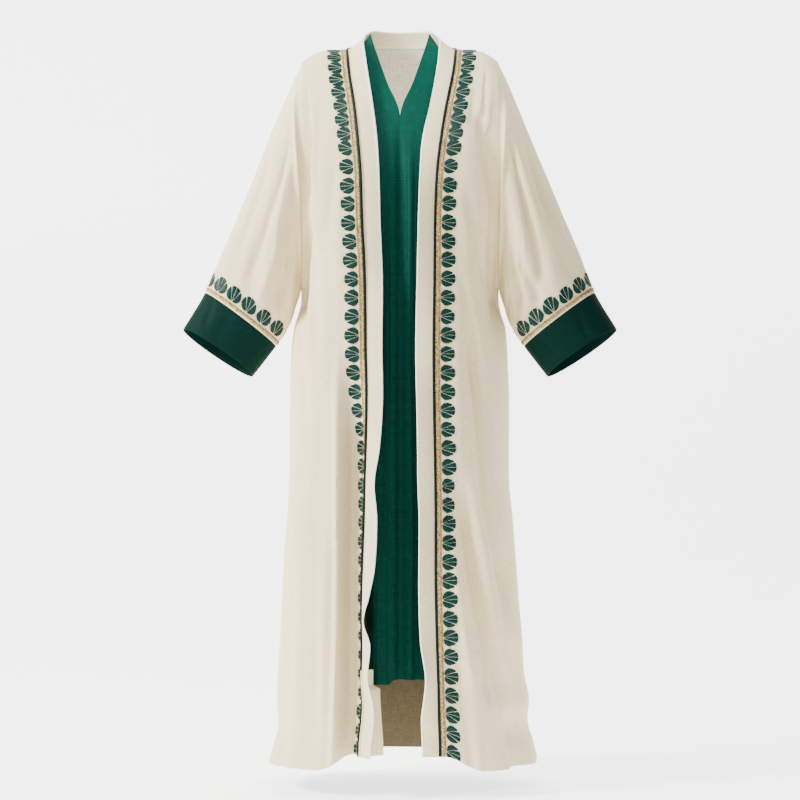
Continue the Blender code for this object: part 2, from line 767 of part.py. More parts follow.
def piping_grid(band, panel_points):
    """Cord in the seam: a narrow strip between a band's edge and the panel's."""
    rows = []
    for row, panel in zip(band, panel_points):
        seam = row[0]
        rows.append([back_off(seam, panel, PIPING_HALF), back_off(seam, row[1], PIPING_HALF)])
    return rows


def facing_grid(side, band, directions):
    """Facing strip, its hidden edge against the back of the band's lower rows."""
    rows = []
    for i, edge_x in enumerate(FACING_EDGE_X, -len(FACING_EDGE_X)):
        seam, middle = band[i][:2]
        behind = BAND + FACING_PLAY
        seam_back = seam - directions[i][0] * behind
        middle_back = middle - directions[i][1] * behind
        hidden = seam_back.lerp(middle_back, FACING_SHARE)
        rows.append([hidden, Vector((side * edge_x, FACING_EDGE_Y, hidden.z))])
    return rows


def inner_sheets():
    """Both halves of the inner front, which share the centre line below the neck."""
    keys = [V_POINT_KEY * k / V_STEPS for k in range(V_STEPS + 1)]
    span = INNER[-1].key - V_POINT_KEY
    keys += [V_POINT_KEY + span * k / INNER_LOWER_STEPS for k in range(1, INNER_LOWER_STEPS + 1)]
    halves = []
    for side in SIDE_NAMES:
        grid = [[inner_point(side, key, station) for station in INNER_STATIONS] for key in keys]
        halves.append(Sheet(grid, False, side < 0))
    return halves


def build():
    """Build every piece of the robe."""
    for old in list(bpy.data.objects):
        bpy.data.objects.remove(old, do_unlink=True)
    robe = bpy.data.objects.new("robe", None)
    bpy.context.collection.objects.link(robe)

    joined = {"back": Sheet(back_grid(), False, True)}
    for side, word in SIDE_NAMES.items():
        joined["front_" + word] = Sheet(front_grid(side), False, side < 0)
        joined["band_" + word] = Sheet(band_grid(side), False, side > 0)
        joined["sleeve_" + word] = Sheet(tube_grid(side, sleeve_reaches()), True, side > 0)
        joined["cuff_" + word] = Sheet(tube_grid(side, cuff_reaches()), True, side > 0)
    normals = dict(zip(joined, shared_normals(list(joined.values()))))

    for word in SIDE_NAMES.values():
        band_lines = normals["band_" + word][NECK_STEPS + 1:]
        for band_line, panel_line in zip(band_lines, normals["front_" + word][1:]):
            band_line[0] = panel_line[0] = (band_line[0] + panel_line[0]).normalized()

    middle = len(joined["back"].grid[0]) // 2
    neck_columns = range(middle - NECK_STEPS, middle + NECK_STEPS + 1)
    for side, word in SIDE_NAMES.items():
        top = normals["front_" + word]
        top[0] = ease_seam(joined["front_" + word].grid[0], top[0])
    top = normals["back"][0]
    seam = joined["back"].grid[0]
    top[:neck_columns[0] + 1] = ease_seam(seam[:neck_columns[0] + 1], top[:neck_columns[0] + 1])
    top[neck_columns[-1]:] = ease_seam(seam[neck_columns[-1]:], top[neck_columns[-1]:])

    def add(name, grid, source, directions, thickness, slot, lift=0.0):
        sheet = Sheet(grid, joined[source].around, joined[source].flip)
        cloth(name, [sheet], [directions], thickness, slot, robe, lift)

    back = [list(row) for row in joined["back"].grid]
    for side, word in SIDE_NAMES.items():
        front = [list(row) for row in joined["front_" + word].grid]
        band = [list(row) for row in joined["band_" + word].grid]
        panel = [back[1][middle + side * k] for k in range(NECK_STEPS)] + [row[1] for row in front]
        piping = piping_grid(band, panel)
        directions = normals["band_" + word]
        trim_row(piping, 0, 1, SEAM_PLAY)
        add("piping_" + word, piping, "band_" + word, [[row[0]] * 2 for row in directions],
            PIPING, "dark_piping", PIPING_PROUD)
        trim_column(band, 0, 1, PIPED_PLAY)
        trim_row(band, 0, 1, SEAM_PLAY)
        add("band_" + word, band, "band_" + word, directions, BAND, "linen")
        trim_column(front, 0, 1, PIPED_PLAY)
        trim_column(front, -1, -2, SEAM_PLAY)
        trim_row(front, 0, 1, SEAM_PLAY)
        directions = normals["front_" + word]
        add("front_" + word, front, "front_" + word, directions, LINEN, "linen")
        add("braid_front_" + word, [row[:2] for row in front], "front_" + word,
            [row[:2] for row in directions], BRAID, "gold_braid", BRAID + LAID_PLAY)

        sleeve = [list(row) for row in joined["sleeve_" + word].grid]
        trim_row(sleeve, 0, 1, SEAM_PLAY)
        trim_row(sleeve, -1, -2, SEAM_PLAY)
        for point, angle in zip(sleeve[0], loop_angles()):
            point.x += side * UNDERARM_PLAY * (1 - cos(angle)) / 2
        directions = normals["sleeve_" + word]
        add("sleeve_" + word, sleeve, "sleeve_" + word, directions, LINEN, "linen")
        add("braid_sleeve_" + word, sleeve[-2:], "sleeve_" + word, directions[-2:],
            BRAID, "gold_braid", BRAID + LAID_PLAY)
        cuff = [list(row) for row in joined["cuff_" + word].grid]
        trim_row(cuff, 0, 1, SEAM_PLAY)
        add("cuff_" + word, cuff, "cuff_" + word, normals["cuff_" + word], CUFF, "green_cloth")

    shoulder_play = [PIPED_PLAY if j in neck_columns else SEAM_PLAY for j in range(len(back[0]))]
    shoulder_play[neck_columns[0]] = shoulder_play[neck_columns[-1]] = CORNER_PLAY
    trim_row(back, 0, 1, shoulder_play)
    trim_column(back, 0, 1, SEAM_PLAY)
    trim_column(back, -1, -2, SEAM_PLAY)
    add("back", back, "back", normals["back"], LINEN, "linen")
    neck = [[row[j] for j in neck_columns] for row in back[:2]]
    directions = [[row[j] for j in neck_columns] for row in normals["back"][:2]]
    add("braid_neck", neck, "back", directions, BRAID, "gold_braid", BRAID + LAID_PLAY)

    halves = inner_sheets()
    cloth("inner_front", halves, shared_normals(halves), CREPE, "green_cloth", robe)
    source = joined["band_right"].grid
    strip = [Sheet(facing_grid(-1, source, normals["band_right"]), False, False)]
    cloth("facing_right", strip, shared_normals(strip), LINEN, "linen", robe)


build()
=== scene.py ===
"""Looks of the long open-front robe: fine cloth, trim, embroidery, light and camera.

Metres, in the frame's own axes: the robe's front faces -Y, and +X is the wearer's left.
The cloth's forms repeat the named sizes of the robe's solids, with finer rows and creases.
"""
from math import pi

import bpy
import numpy as np
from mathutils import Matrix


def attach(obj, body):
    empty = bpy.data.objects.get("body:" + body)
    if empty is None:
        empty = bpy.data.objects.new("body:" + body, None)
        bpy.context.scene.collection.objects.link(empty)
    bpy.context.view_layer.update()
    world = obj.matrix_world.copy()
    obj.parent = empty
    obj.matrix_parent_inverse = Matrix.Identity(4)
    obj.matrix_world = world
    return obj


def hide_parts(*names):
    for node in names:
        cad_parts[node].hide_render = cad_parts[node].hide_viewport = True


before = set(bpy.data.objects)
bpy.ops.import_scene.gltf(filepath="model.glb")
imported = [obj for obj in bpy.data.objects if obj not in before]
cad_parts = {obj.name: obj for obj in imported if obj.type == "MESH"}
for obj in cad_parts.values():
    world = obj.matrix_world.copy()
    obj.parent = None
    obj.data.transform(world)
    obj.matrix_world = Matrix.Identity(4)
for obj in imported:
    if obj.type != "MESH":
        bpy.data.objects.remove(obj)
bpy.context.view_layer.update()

# Driving sizes, as in the solids
HEM_DROP = 1.418
ARMPIT_DROP = 0.478
BAND_WIDTH = 0.0352
BRAID_WIDTH = 0.0130
CUFF_BRAID_WIDTH = 0.0110
CUFF_REACH = 0.5017
SLEEVE_REACH = 0.5870
NECK_SHARE = 0.5
INNER_HEM_DROP = 1.2557
LINEN = 0.0016
CREPE = 0.0012
BAND = 0.0024

# Front opening seam: drop, wearer's right x, left x
OPENING_SEAM = (
    (0.000, 0.1050, 0.1110), (0.050, 0.1006, 0.1050), (0.130, 0.0887, 0.0890),
    (0.194, 0.0820, 0.0787), (0.257, 0.0768, 0.0712), (0.349, 0.0738, 0.0674),
    (0.460, 0.0683, 0.0665), (0.600, 0.0660, 0.0652), (0.700, 0.0644, 0.0655),
    (0.885, 0.0677, 0.0683), (1.050, 0.0730, 0.0685), (1.170, 0.0728, 0.0708),
    (1.250, 0.0734, 0.0726), (1.310, 0.0720, 0.0742), (1.390, 0.0790, 0.0767),
)
# Free edge of the band: drop, right x, left x, rise above the seam
BAND_EDGE = (
    (0.000, 0.0732, 0.0792, 0.018), (0.050, 0.0655, 0.0735, 0.013), (0.130, 0.0522, 0.0580, 0.008),
    (0.194, 0.0440, 0.0430, 0.004), (0.257, 0.0400, 0.0382, 0.000), (0.349, 0.0378, 0.0352, 0.000),
    (0.460, 0.0335, 0.0325, 0.000), (0.600, 0.0346, 0.0295, 0.000), (0.700, 0.0335, 0.0317, 0.000),
    (0.790, 0.0395, 0.0333, 0.000), (0.860, 0.0503, 0.0338, 0.000), (0.930, 0.0450, 0.0365, 0.000),
    (1.020, 0.0490, 0.0358, 0.000), (1.075, 0.0600, 0.0357, 0.000), (1.125, 0.0722, 0.0368, 0.000),
    (1.172, 0.0590, 0.0395, 0.000),
    (1.245, 0.0640, 0.0491, 0.000), (1.300, 0.0535, 0.0450, 0.000), (1.340, 0.0510, 0.0404, 0.000),
    (1.400, 0.0575, 0.0422, 0.000),
)
# Neck seam and standing edge, from the centre back, 0, to the shoulder, 1: seam x, y, z, edge x, y, z
NECK = (
    (0.00, 0.000, 0.0850, 0.0144, 0.0000, 0.0720, 0.0465),
    (0.25, 0.036, 0.0810, 0.0144, 0.0300, 0.0680, 0.0470),
    (0.50, 0.068, 0.0640, 0.0125, 0.0560, 0.0500, 0.0462),
    (0.75, 0.092, 0.0340, 0.0075, 0.0700, 0.0240, 0.0350),
    (1.00, 0.108, 0.0000, 0.0000, 0.0762, 0.0000, 0.0180),
)
# Body: drop, half width right and left, depth in front and behind
BODY = (
    (0.300, 0.1975, 0.1975, 0.128, 0.132), (0.400, 0.1975, 0.1975, 0.130, 0.127),
    (0.478, 0.1975, 0.1975, 0.131, 0.125), (0.510, 0.1985, 0.1980, 0.132, 0.126),
    (0.560, 0.2125, 0.2095, 0.133, 0.129), (0.620, 0.2180, 0.2140, 0.135, 0.132),
    (0.700, 0.2200, 0.2180, 0.138, 0.138), (0.860, 0.2220, 0.2185, 0.146, 0.146),
    (0.940, 0.2260, 0.2260, 0.150, 0.151), (1.020, 0.2320, 0.2320, 0.155, 0.157),
    (1.100, 0.2360, 0.2380, 0.159, 0.162), (1.180, 0.2400, 0.2440, 0.163, 0.167),
    (1.250, 0.2440, 0.2470, 0.166, 0.171), (1.300, 0.2460, 0.2560, 0.168, 0.173),
    (1.350, 0.2440, 0.2530, 0.170, 0.176), (1.385, 0.2520, 0.2640, 0.172, 0.178),
    (1.420, 0.2620, 0.2740, 0.174, 0.180),
)
BACK_RISE = (
    (0.00, 0.085), (0.08, 0.103), (0.20, 0.119), (0.34, 0.129),
    (0.50, 0.133), (0.75, 0.130), (1.00, 0.125),
)
# Sleeve: reach, top x, top drop, under x, under drop, half depth, centre y, lean
SLEEVE = (
    (0.0000, 0.1950, 0.0240, 0.1975, 0.4780, 0.0940, 0.000, 0.000),
    (0.0990, 0.2340, 0.1150, 0.1995, 0.4870, 0.0980, -0.002, 0.000),
    (0.2120, 0.2760, 0.2200, 0.2025, 0.4980, 0.0900, -0.006, 0.000),
    (0.3206, 0.3180, 0.3200, 0.2080, 0.5150, 0.0770, -0.012, 0.000),
    (0.4075, 0.3520, 0.4000, 0.2190, 0.5490, 0.0640, -0.016, 0.002),
    (CUFF_REACH, 0.3880, 0.4870, 0.2475, 0.5930, 0.0500, -0.020, 0.006),
    (SLEEVE_REACH, 0.4316, 0.5605, 0.2935, 0.6530, 0.0410, -0.024, 0.010),
)
GROOVE = 0.50
GROOVE_REACH = 0.28
# Direction in which a sleeve leans, as shares of x and z
LEAN_X = 0.51
LEAN_Z = 0.86
# Forms of the yoke, as in the solids
SHOULDER_RISE = 0.011
SHOULDER_SKEW = 1.3
CHEST_POWER = 1.7
ARCH_POWER = 2.3
YOKE_POWER = 2.1
ARMHOLE_REACH = 2
UNDERARM_REACH = 5
# Dip beside the wearer's right opening: drop, x, depth, half width, width of its steep wall
DIP = (
    (0.600, 0.0900, 0.000, 0.030, 0.030), (0.700, 0.0920, 0.016, 0.030, 0.022),
    (0.780, 0.0950, 0.038, 0.031, 0.014), (0.880, 0.0960, 0.047, 0.032, 0.011),
    (0.980, 0.0970, 0.050, 0.033, 0.008), (1.060, 0.0980, 0.052, 0.034, 0.004),
    (1.250, 0.0990, 0.052, 0.036, 0.004), (1.340, 0.1010, 0.048, 0.038, 0.007),
    (1.420, 0.1030, 0.044, 0.040, 0.010),
)
# Share of its depth that the cloth around it keeps
DIP_REST = 0.45
# Inner front: key, then x, y, z of its neck edge or centre, of a line under the band, and of its side
INNER = (
    (0.0, 0.0590, 0.024, 0.0365, 0.083, 0.001, -0.0010, 0.150, -0.005, -0.0154),
    (0.8, 0.0500, -0.008, 0.0030, 0.088, -0.022, -0.0110, 0.150, -0.024, -0.0280),
    (1.9, 0.0255, -0.060, -0.0720, 0.082, -0.054, -0.0760, 0.150, -0.048, -0.0850),
    (3.0, 0.0000, -0.089, -0.1410, 0.080, -0.083, -0.1410, 0.152, -0.064, -0.1410),
    (4.0, 0.0000, -0.107, -0.2500, 0.078, -0.099, -0.2500, 0.152, -0.070, -0.2500),
    (5.5, 0.0000, -0.111, -0.4500, 0.078, -0.102, -0.4500, 0.148, -0.066, -0.4500),
    (8.0, 0.0000, -0.106, -0.7500, 0.082, -0.096, -0.7500, 0.155, -0.062, -0.7500),
    (10.0, 0.0000, -0.108, -1.0000, 0.086, -0.098, -1.0000, 0.162, -0.062, -1.0000),
    (12.0, 0.0000, -0.112, -INNER_HEM_DROP, 0.090, -0.101, -INNER_HEM_DROP,
     0.172, -0.062, -INNER_HEM_DROP),
)
V_POINT_KEY = 3.0
INNER_WIDTH = 0.130
PLEAT_HALF_WIDTH = 0.0065
PLEAT_DEPTH = 0.0075
GATHER_PITCH = 0.034
GATHER_DEPTH = 0.0022
GATHER_REACH = 0.075
INNER_STEP = 0.009
# Its right half: ridge beside the opening, room for the dip, and free edge turned back
RIDGE = 0.009
RIDGE_X = 0.033
RIDGE_HALF_WIDTH = 0.013
DIP_ROOM = 0.012
TURN_X = 0.056
TURN_SLANT = 0.100
TURN_IN = 0.88
TURN_BACK = 0.28
TURN_SOFTNESS = 0.004

# Large creases of the fronts, as in the solids: side, run as drop and x, half width, depth
CREASES = (
    (1, ((0.50, 0.132), (0.74, 0.155), (0.90, 0.171), (1.05, 0.205), (1.18, 0.222)), 0.016, 0.010),
    (1, ((0.80, 0.108), (0.97, 0.132), (1.13, 0.163), (1.28, 0.204), (1.42, 0.238)), 0.021, 0.017),
    (1, ((1.10, 0.137), (1.20, 0.155), (1.30, 0.182)), 0.013, 0.007),
    (1, ((0.12, 0.158), (0.19, 0.172), (0.26, 0.186), (0.31, 0.190)), 0.014, 0.012),
    (-1, ((0.14, 0.176), (0.22, 0.186), (0.31, 0.190)), 0.012, 0.010),
    (-1, ((0.60, 0.150), (0.95, 0.172), (1.42, 0.196)), 0.026, 0.006),
)
# Folds show deeper in the looks than in the table, by these shares
CREASE_GAIN = 1.25
FINE_GAIN = 1.7
SLEEVE_GAIN = 2.0
# Roll of cloth on a sleeve beside the armhole: its reach, half width and height
ROLL = (0.032, 0.016, 0.011)
# Small creases that only the looks have, in the same columns; a depth below 0 is a ridge
FRONT_CREASES = (
    (1, ((0.03, 0.172), (0.08, 0.170), (0.14, 0.168), (0.20, 0.174), (0.27, 0.186)), 0.0045, 0.0045),
    (1, ((0.08, 0.152), (0.13, 0.144), (0.17, 0.139)), 0.009, 0.0025),
    (1, ((0.27, 0.128), (0.34, 0.143), (0.42, 0.160), (0.50, 0.176)), 0.012, 0.0035),
    (1, ((0.44, 0.120), (0.58, 0.139), (0.72, 0.155)), 0.008, 0.0030),
    (1, ((0.62, 0.158), (0.80, 0.176), (0.96, 0.198)), 0.010, 0.0030),
    (1, ((0.98, 0.190), (1.10, 0.206), (1.24, 0.222)), 0.009, 0.0035),
    (1, ((1.16, 0.224), (1.27, 0.236), (1.36, 0.250)), 0.010, 0.0035),
    (1, ((0.92, 0.096), (1.10, 0.117), (1.30, 0.150)), 0.011, -0.0030),
    (1, ((1.20, 0.112), (1.32, 0.124), (1.42, 0.138)), 0.012, 0.0040),
    (-1, ((0.05, 0.184), (0.10, 0.188), (0.17, 0.189), (0.30, 0.193)), 0.0050, 0.0045),
    (-1, ((0.10, 0.166), (0.18, 0.170), (0.30, 0.171)), 0.0060, -0.0030),
    (-1, ((0.20, 0.120), (0.32, 0.138), (0.46, 0.152)), 0.012, 0.0022),
    (-1, ((0.34, 0.178), (0.48, 0.170), (0.62, 0.166)), 0.010, 0.0030),
    (-1, ((0.55, 0.196), (0.75, 0.192), (0.98, 0.198)), 0.012, 0.0030),
    (-1, ((0.90, 0.134), (1.10, 0.138), (1.42, 0.148)), 0.010, 0.0030),
    (-1, ((1.00, 0.214), (1.18, 0.220), (1.42, 0.236)), 0.012, 0.0040),
    (-1, ((1.12, 0.172), (1.28, 0.168), (1.42, 0.162)), 0.012, 0.0035),
    (-1, ((0.58, 0.096), (0.80, 0.098), (1.10, 0.099), (1.42, 0.104)), 0.0085, 0.0080),
    (-1, ((0.56, 0.122), (0.80, 0.125), (1.10, 0.125), (1.42, 0.130)), 0.0095, -0.0070),
    (1, ((0.84, 0.116), (0.97, 0.139), (1.13, 0.170), (1.28, 0.211), (1.37, 0.234)), 0.010, 0.0075),
    (1, ((0.50, 0.138), (0.74, 0.161), (0.90, 0.177), (1.05, 0.211), (1.18, 0.228)), 0.008, 0.0065),
    (1, ((0.34, 0.186), (0.46, 0.178), (0.58, 0.186)), 0.010, 0.0040),
    (1, ((0.06, 0.1900), (0.20, 0.1885), (0.36, 0.1890), (0.62, 0.1960)), 0.0075, 0.0100),
    (-1, ((0.05, 0.1910), (0.16, 0.1895), (0.34, 0.1895), (0.64, 0.1980)), 0.0075, 0.0110),
    (-1, ((0.33, 0.184), (0.44, 0.172), (0.52, 0.180)), 0.010, 0.0035),
)
# Creases of the back, for x below and above 0 as its side says
BACK_CREASES = (
    (1, ((0.10, 0.150), (0.20, 0.166), (0.32, 0.182)), 0.014, 0.0060),
    (-1, ((0.08, 0.154), (0.18, 0.168), (0.31, 0.184)), 0.012, 0.0070),
    (1, ((0.30, 0.070), (0.62, 0.082), (1.00, 0.092), (1.42, 0.104)), 0.024, 0.0060),
    (-1, ((0.36, 0.050), (0.70, 0.062), (1.05, 0.066), (1.42, 0.078)), 0.022, 0.0065),
    (1, ((0.52, 0.150), (0.84, 0.158), (1.15, 0.172), (1.42, 0.186)), 0.018, 0.0070),
    (-1, ((0.48, 0.142), (0.80, 0.150), (1.12, 0.160), (1.42, 0.166)), 0.020, 0.0060),
    (1, ((0.90, 0.030), (1.16, 0.034), (1.42, 0.040)), 0.014, 0.0050),
    (-1, ((1.00, 0.110), (1.20, 0.116), (1.42, 0.120)), 0.012, 0.0045),
    (1, ((0.34, 0.176), (0.46, 0.160), (0.60, 0.148)), 0.012, 0.0045),
    (-1, ((0.34, 0.174), (0.44, 0.162), (0.56, 0.154)), 0.012, 0.0040),
)
# Creases of a sleeve: side, run as reach and angle, half width in metres, depth
SLEEVE_CREASES = (
    (1, ((0.02, 0.95), (0.10, 1.12), (0.22, 1.34), (0.34, 1.52), (0.44, 1.60)), 0.011, 0.0060),
    (1, ((0.12, 0.62), (0.26, 0.78), (0.40, 0.92), (0.49, 0.98)), 0.014, 0.0035),
    (1, ((0.10, 2.05), (0.22, 2.20), (0.34, 2.26), (0.43, 2.20)), 0.012, 0.0060),
    (1, ((0.05, -0.80), (0.20, -1.02), (0.38, -1.20), (0.49, -1.26)), 0.014, 0.0055),
    (1, ((0.08, -1.75), (0.24, -1.95), (0.42, -2.05)), 0.013, 0.0060),
    (1, ((0.24, 1.95), (0.36, 1.86), (0.47, 1.80)), 0.010, 0.0030),
    (-1, ((0.04, 1.06), (0.16, 1.24), (0.30, 1.36), (0.46, 1.42)), 0.013, 0.0045),
    (-1, ((0.14, 0.66), (0.28, 0.80), (0.46, 0.94)), 0.015, 0.0030),
    (-1, ((0.08, 2.00), (0.20, 2.16), (0.33, 2.24), (0.42, 2.28)), 0.013, 0.0060),
    (-1, ((0.20, 1.70), (0.34, 1.76), (0.48, 1.74)), 0.009, -0.0025),
    (-1, ((0.06, -0.86), (0.22, -1.06), (0.40, -1.22), (0.49, -1.30)), 0.014, 0.0055),
    (-1, ((0.08, -1.80), (0.26, -1.98), (0.43, -2.10)), 0.013, 0.0060),
)
# Creases of a cuff, in the same columns
CUFF_CREASES = (
    (1, ((0.500, 1.10), (0.545, 1.22), (0.587, 1.30)), 0.006, 0.0016),
    (1, ((0.500, 2.30), (0.530, 2.22), (0.560, 2.16)), 0.005, 0.0014),
    (1, ((0.500, -1.60), (0.545, -1.70), (0.587, -1.75)), 0.008, 0.0018),
    (-1, ((0.500, 0.70), (0.530, 0.84), (0.570, 0.96)), 0.006, 0.0018),
    (-1, ((0.500, 1.34), (0.540, 1.38), (0.587, 1.42)), 0.008, 0.0016),
    (-1, ((0.500, -1.50), (0.545, -1.62), (0.587, -1.70)), 0.008, 0.0018),
)
# Fine pleats of the inner front: x at its hem, half width, depth, key where it starts
INNER_PLEATS = (
    (-0.0620, 0.0030, 0.0016, 3.4), (-0.0480, 0.0022, 0.0014, 3.2), (-0.0385, 0.0028, 0.0020, 3.8),
    (-0.0270, 0.0018, 0.0018, 3.2), (-0.0180, 0.0022, 0.0020, 4.4), (-0.0125, 0.0016, 0.0012, 3.3),
    (0.0120, 0.0016, 0.0014, 3.3), (0.0195, 0.0020, 0.0022, 3.1), (0.0300, 0.0024, 0.0016, 4.2),
    (0.0375, 0.0018, 0.0020, 3.2), (0.0490, 0.0026, 0.0016, 3.6), (0.0600, 0.0030, 0.0018, 3.3),
)

# Motifs: the middle of one lies this far from the seam it follows
MOTIF_BASE = 0.0132
FRONT_MOTIFS = 41
TIGHT_MOTIFS = 8
TIGHT_STEP = 0.0300
SLEEVE_MOTIFS = 12
NECK_MOTIFS = 7
# Petals of half a motif, in millimetres outwards and along: two edges from base to tip, swell of the tip
PETALS = (
    (((1.5, 0.2), (9.0, 0.25), (18.0, 0.3), (27.6, 0.3)),
     ((1.5, 0.9), (9.0, 3.9), (17.0, 6.8), (25.0, 8.9)), 0.9),
    (((0.0, 1.0), (7.0, 3.7), (14.5, 6.6), (22.6, 9.7)),
     ((0.0, 1.4), (1.8, 10.2), (9.6, 15.6), (21.4, 12.8)), 0.0),
)
# Outline of half a motif's cream ground, in the same millimetres
GROUND = ((-0.8, 0.0), (-0.4, 3.4), (1.6, 10.4), (7.0, 15.2), (12.6, 16.4), (18.6, 14.9),
          (23.4, 11.6), (27.0, 6.5), (28.7, 0.0))
# Piping: radius of its cord, and how far the cord's middle stands off the cloth
PIPING_RADIUS = 0.0029
PIPING_LIFT = 0.0014
# Braid: its near edge from the seam, and one ridge along it
BRAID_START = 0.0030
BRAID_RIDGE = 0.0022
# Beads: gold ones in two rows on a braid, and seed beads between two motifs
BEAD_LIFT = 0.0004
GOLD_RADIUS = 0.0013
GOLD_PITCH = 0.0030
SEED_COUNT = 11
SEED_RADII = (0.0005, 0.0009)

random = np.random.default_rng(7)


class Table:
    """Smooth curve through a table's rows, read at many keys at once."""

    def __init__(self, rows):
        data = np.array(rows, float)
        self.keys = data[:, 0]
        self.values = data[:, 1:]
        places = np.arange(len(data))
        low = np.maximum(places - 1, 0)
        high = np.minimum(places + 1, len(data) - 1)
        self.slopes = (self.values[high] - self.values[low]) / (self.keys[high] - self.keys[low])[:, None]

    def __call__(self, key):
        key = np.clip(np.asarray(key, float), self.keys[0], self.keys[-1])
        k = np.clip(np.searchsorted(self.keys, key, side="right") - 1, 0, len(self.keys) - 2)
        span = (self.keys[k + 1] - self.keys[k])[..., None]
        f = (key - self.keys[k])[..., None] / span
        value = self.values[k] * (1 + 2 * f) * (1 - f) ** 2 + self.values[k + 1] * f * f * (3 - 2 * f)
        value += self.slopes[k] * span * f * (1 - f) ** 2 - self.slopes[k + 1] * span * f * f * (1 - f)
        return np.moveaxis(value, -1, 0)


read_seam, read_free, read_neck = Table(OPENING_SEAM), Table(BAND_EDGE), Table(NECK)
read_body, read_rise, read_sleeve = Table(BODY), Table(BACK_RISE), Table(SLEEVE)
read_dip, read_inner = Table(DIP), Table(INNER)


def vector(x, y, z):
    """Stack three coordinate arrays into points."""
    return np.stack(np.broadcast_arrays(x, y, z), axis=-1).astype(float)


def unit(v):
    """Scale vectors to length 1."""
    return v / np.maximum(np.linalg.norm(v, axis=-1, keepdims=True), 1e-12)


def fade(value, start, end):
    """Ease from 0 at start to 1 at end."""
    f = np.clip((value - start) / (end - start), 0.0, 1.0)
    return f * f * (3 - 2 * f)


def pick(values, side):
    """Take the wearer's right or left value of a pair."""
    return values[0] if side < 0 else values[1]


def height_share(t):
    """Share of the way from shoulder to armpit."""
    return (1 - np.cos(pi * np.clip(t, 0, 1))) / 2


def drop_at(t):
    """Drop below the neck point: rows 0 to 1 reach the armpit, 1 to 2 the hem."""
    return np.where(t <= 1, ARMPIT_DROP * height_share(t), ARMPIT_DROP + (HEM_DROP - ARMPIT_DROP) * (t - 1))


def forward_at(drop):
    """How far the opening's edge stands forward of the shoulder line."""
    chest_drop, chest_forward = BODY[0][0], BODY[0][3]
    share = np.clip(drop / chest_drop, 0, 1)
    rising = chest_forward * (1 - (1 - share) ** CHEST_POWER) ** (1 / CHEST_POWER)
    return np.where(drop >= chest_drop, read_body(drop)[2], rising)


def opening(side, t):
    """Seam between a front and its band."""
    drop = drop_at(t)
    return vector(side * pick(read_seam(drop), side), -forward_at(drop), -drop)


def centre_back(t):
    """Centre line of the back."""
    share = height_share(t)
    neck_z = NECK[0][3]
    upper = vector(0 * share, read_rise(share)[0], neck_z - (neck_z + ARMPIT_DROP) * share)
    drop = drop_at(t)
    return np.where((np.asarray(t) <= 1)[..., None], upper, vector(0 * drop, read_body(drop)[3], -drop))


def sleeve_point(side, reach, angle):
    """Point on a sleeve: angle 0 is the top, pi the underarm, and the front lies between."""
    top_x, top_drop, under_x, under_drop, half_depth, centre_y, lean = read_sleeve(reach)
    along = np.cos(angle)
    across = np.sin(angle)
    groove = GROOVE * (1 - fade(reach, 0, GROOVE_REACH))
    depth = half_depth * across * (1 - groove * ((1 - along) / 2) ** 2)
    x = (top_x + under_x) / 2 + (top_x - under_x) / 2 * along - LEAN_X * lean * across
    z = -(top_drop + under_drop) / 2 - (top_drop - under_drop) / 2 * along + LEAN_Z * lean * across
    return vector(side * x, centre_y - depth, z)


def side_edge(side, t, back):
    """Armhole edge for rows 0 to 1 and side seam for rows 1 to 2."""
    angle = pi * np.clip(t, 0, 1)
    drop = drop_at(t)
    seam = vector(side * pick(read_body(drop), side), 0 * drop, -drop)
    armhole = sleeve_point(side, 0 * angle, -angle if back else angle)
    return np.where((np.asarray(t) <= 1)[..., None], armhole, seam)


def mix(a, b, share):
    """Blend two points."""
    share = np.asarray(share)[..., None]
    return a * (1 - share) + b * share


def arch(start, end, u):
    """Quarter arch between two points of a row, flat at its start."""
    across = np.sin(u * pi / 2) ** (2 / ARCH_POWER)
    down = np.maximum(np.cos(u * pi / 2), 0) ** (2 / ARCH_POWER)
    x = start[..., 0] + (end[..., 0] - start[..., 0]) * across
    y = end[..., 1] + (start[..., 1] - end[..., 1]) * down
    z = start[..., 2] + (end[..., 2] - start[..., 2]) * u
    return vector(x, y, z)


def shoulder(side, share):
    """Shoulder seam from the neck to the armhole, a little rounded."""
    point = mix(opening(side, 0 * share), side_edge(side, 0 * share, False), share)
    point[..., 2] += SHOULDER_RISE * np.sin(pi * share ** SHOULDER_SKEW)
    return point


def relax(point, u, t):
    """Ease the rows just above the armpit into the ones below it."""
    drop = -point[..., 2]
    size = np.abs(np.gradient(drop, axis=0))
    near = np.exp(-((drop[:, None] - drop[None]) / 0.030) ** 2) * size[None]
    smooth = np.einsum("ijk,jk->ik", near, point[..., 1]) / near.sum(axis=1)
    weight = fade(t, 0.40, 0.85) * (1 - fade(t, 1.10, 1.30)) * fade(u, 0, 0.12) * (1 - fade(u, 0.88, 1.0))
    point[..., 1] += (smooth - point[..., 1]) * weight
    return point


def patch(u, t, top, low, near, far):
    """Blend four edges into one yoke surface, which swells out early and then hangs straight."""
    share = height_share(t)
    swell = (1 - (1 - share) ** YOKE_POWER) ** (1 / YOKE_POWER)
    shares = vector(share, swell, share)
    outer = vector(u, u ** (ARMHOLE_REACH + UNDERARM_REACH * t ** 8), u)
    sides = near(t) * (1 - outer) + far(t) * outer
    first = near(0 * t) * (1 - outer) + far(0 * t) * outer
    last = near(0 * t + 1) * (1 - outer) + far(0 * t + 1) * outer
    return top(u) * (1 - shares) + low(u) * shares + sides - first * (1 - shares) - last * shares


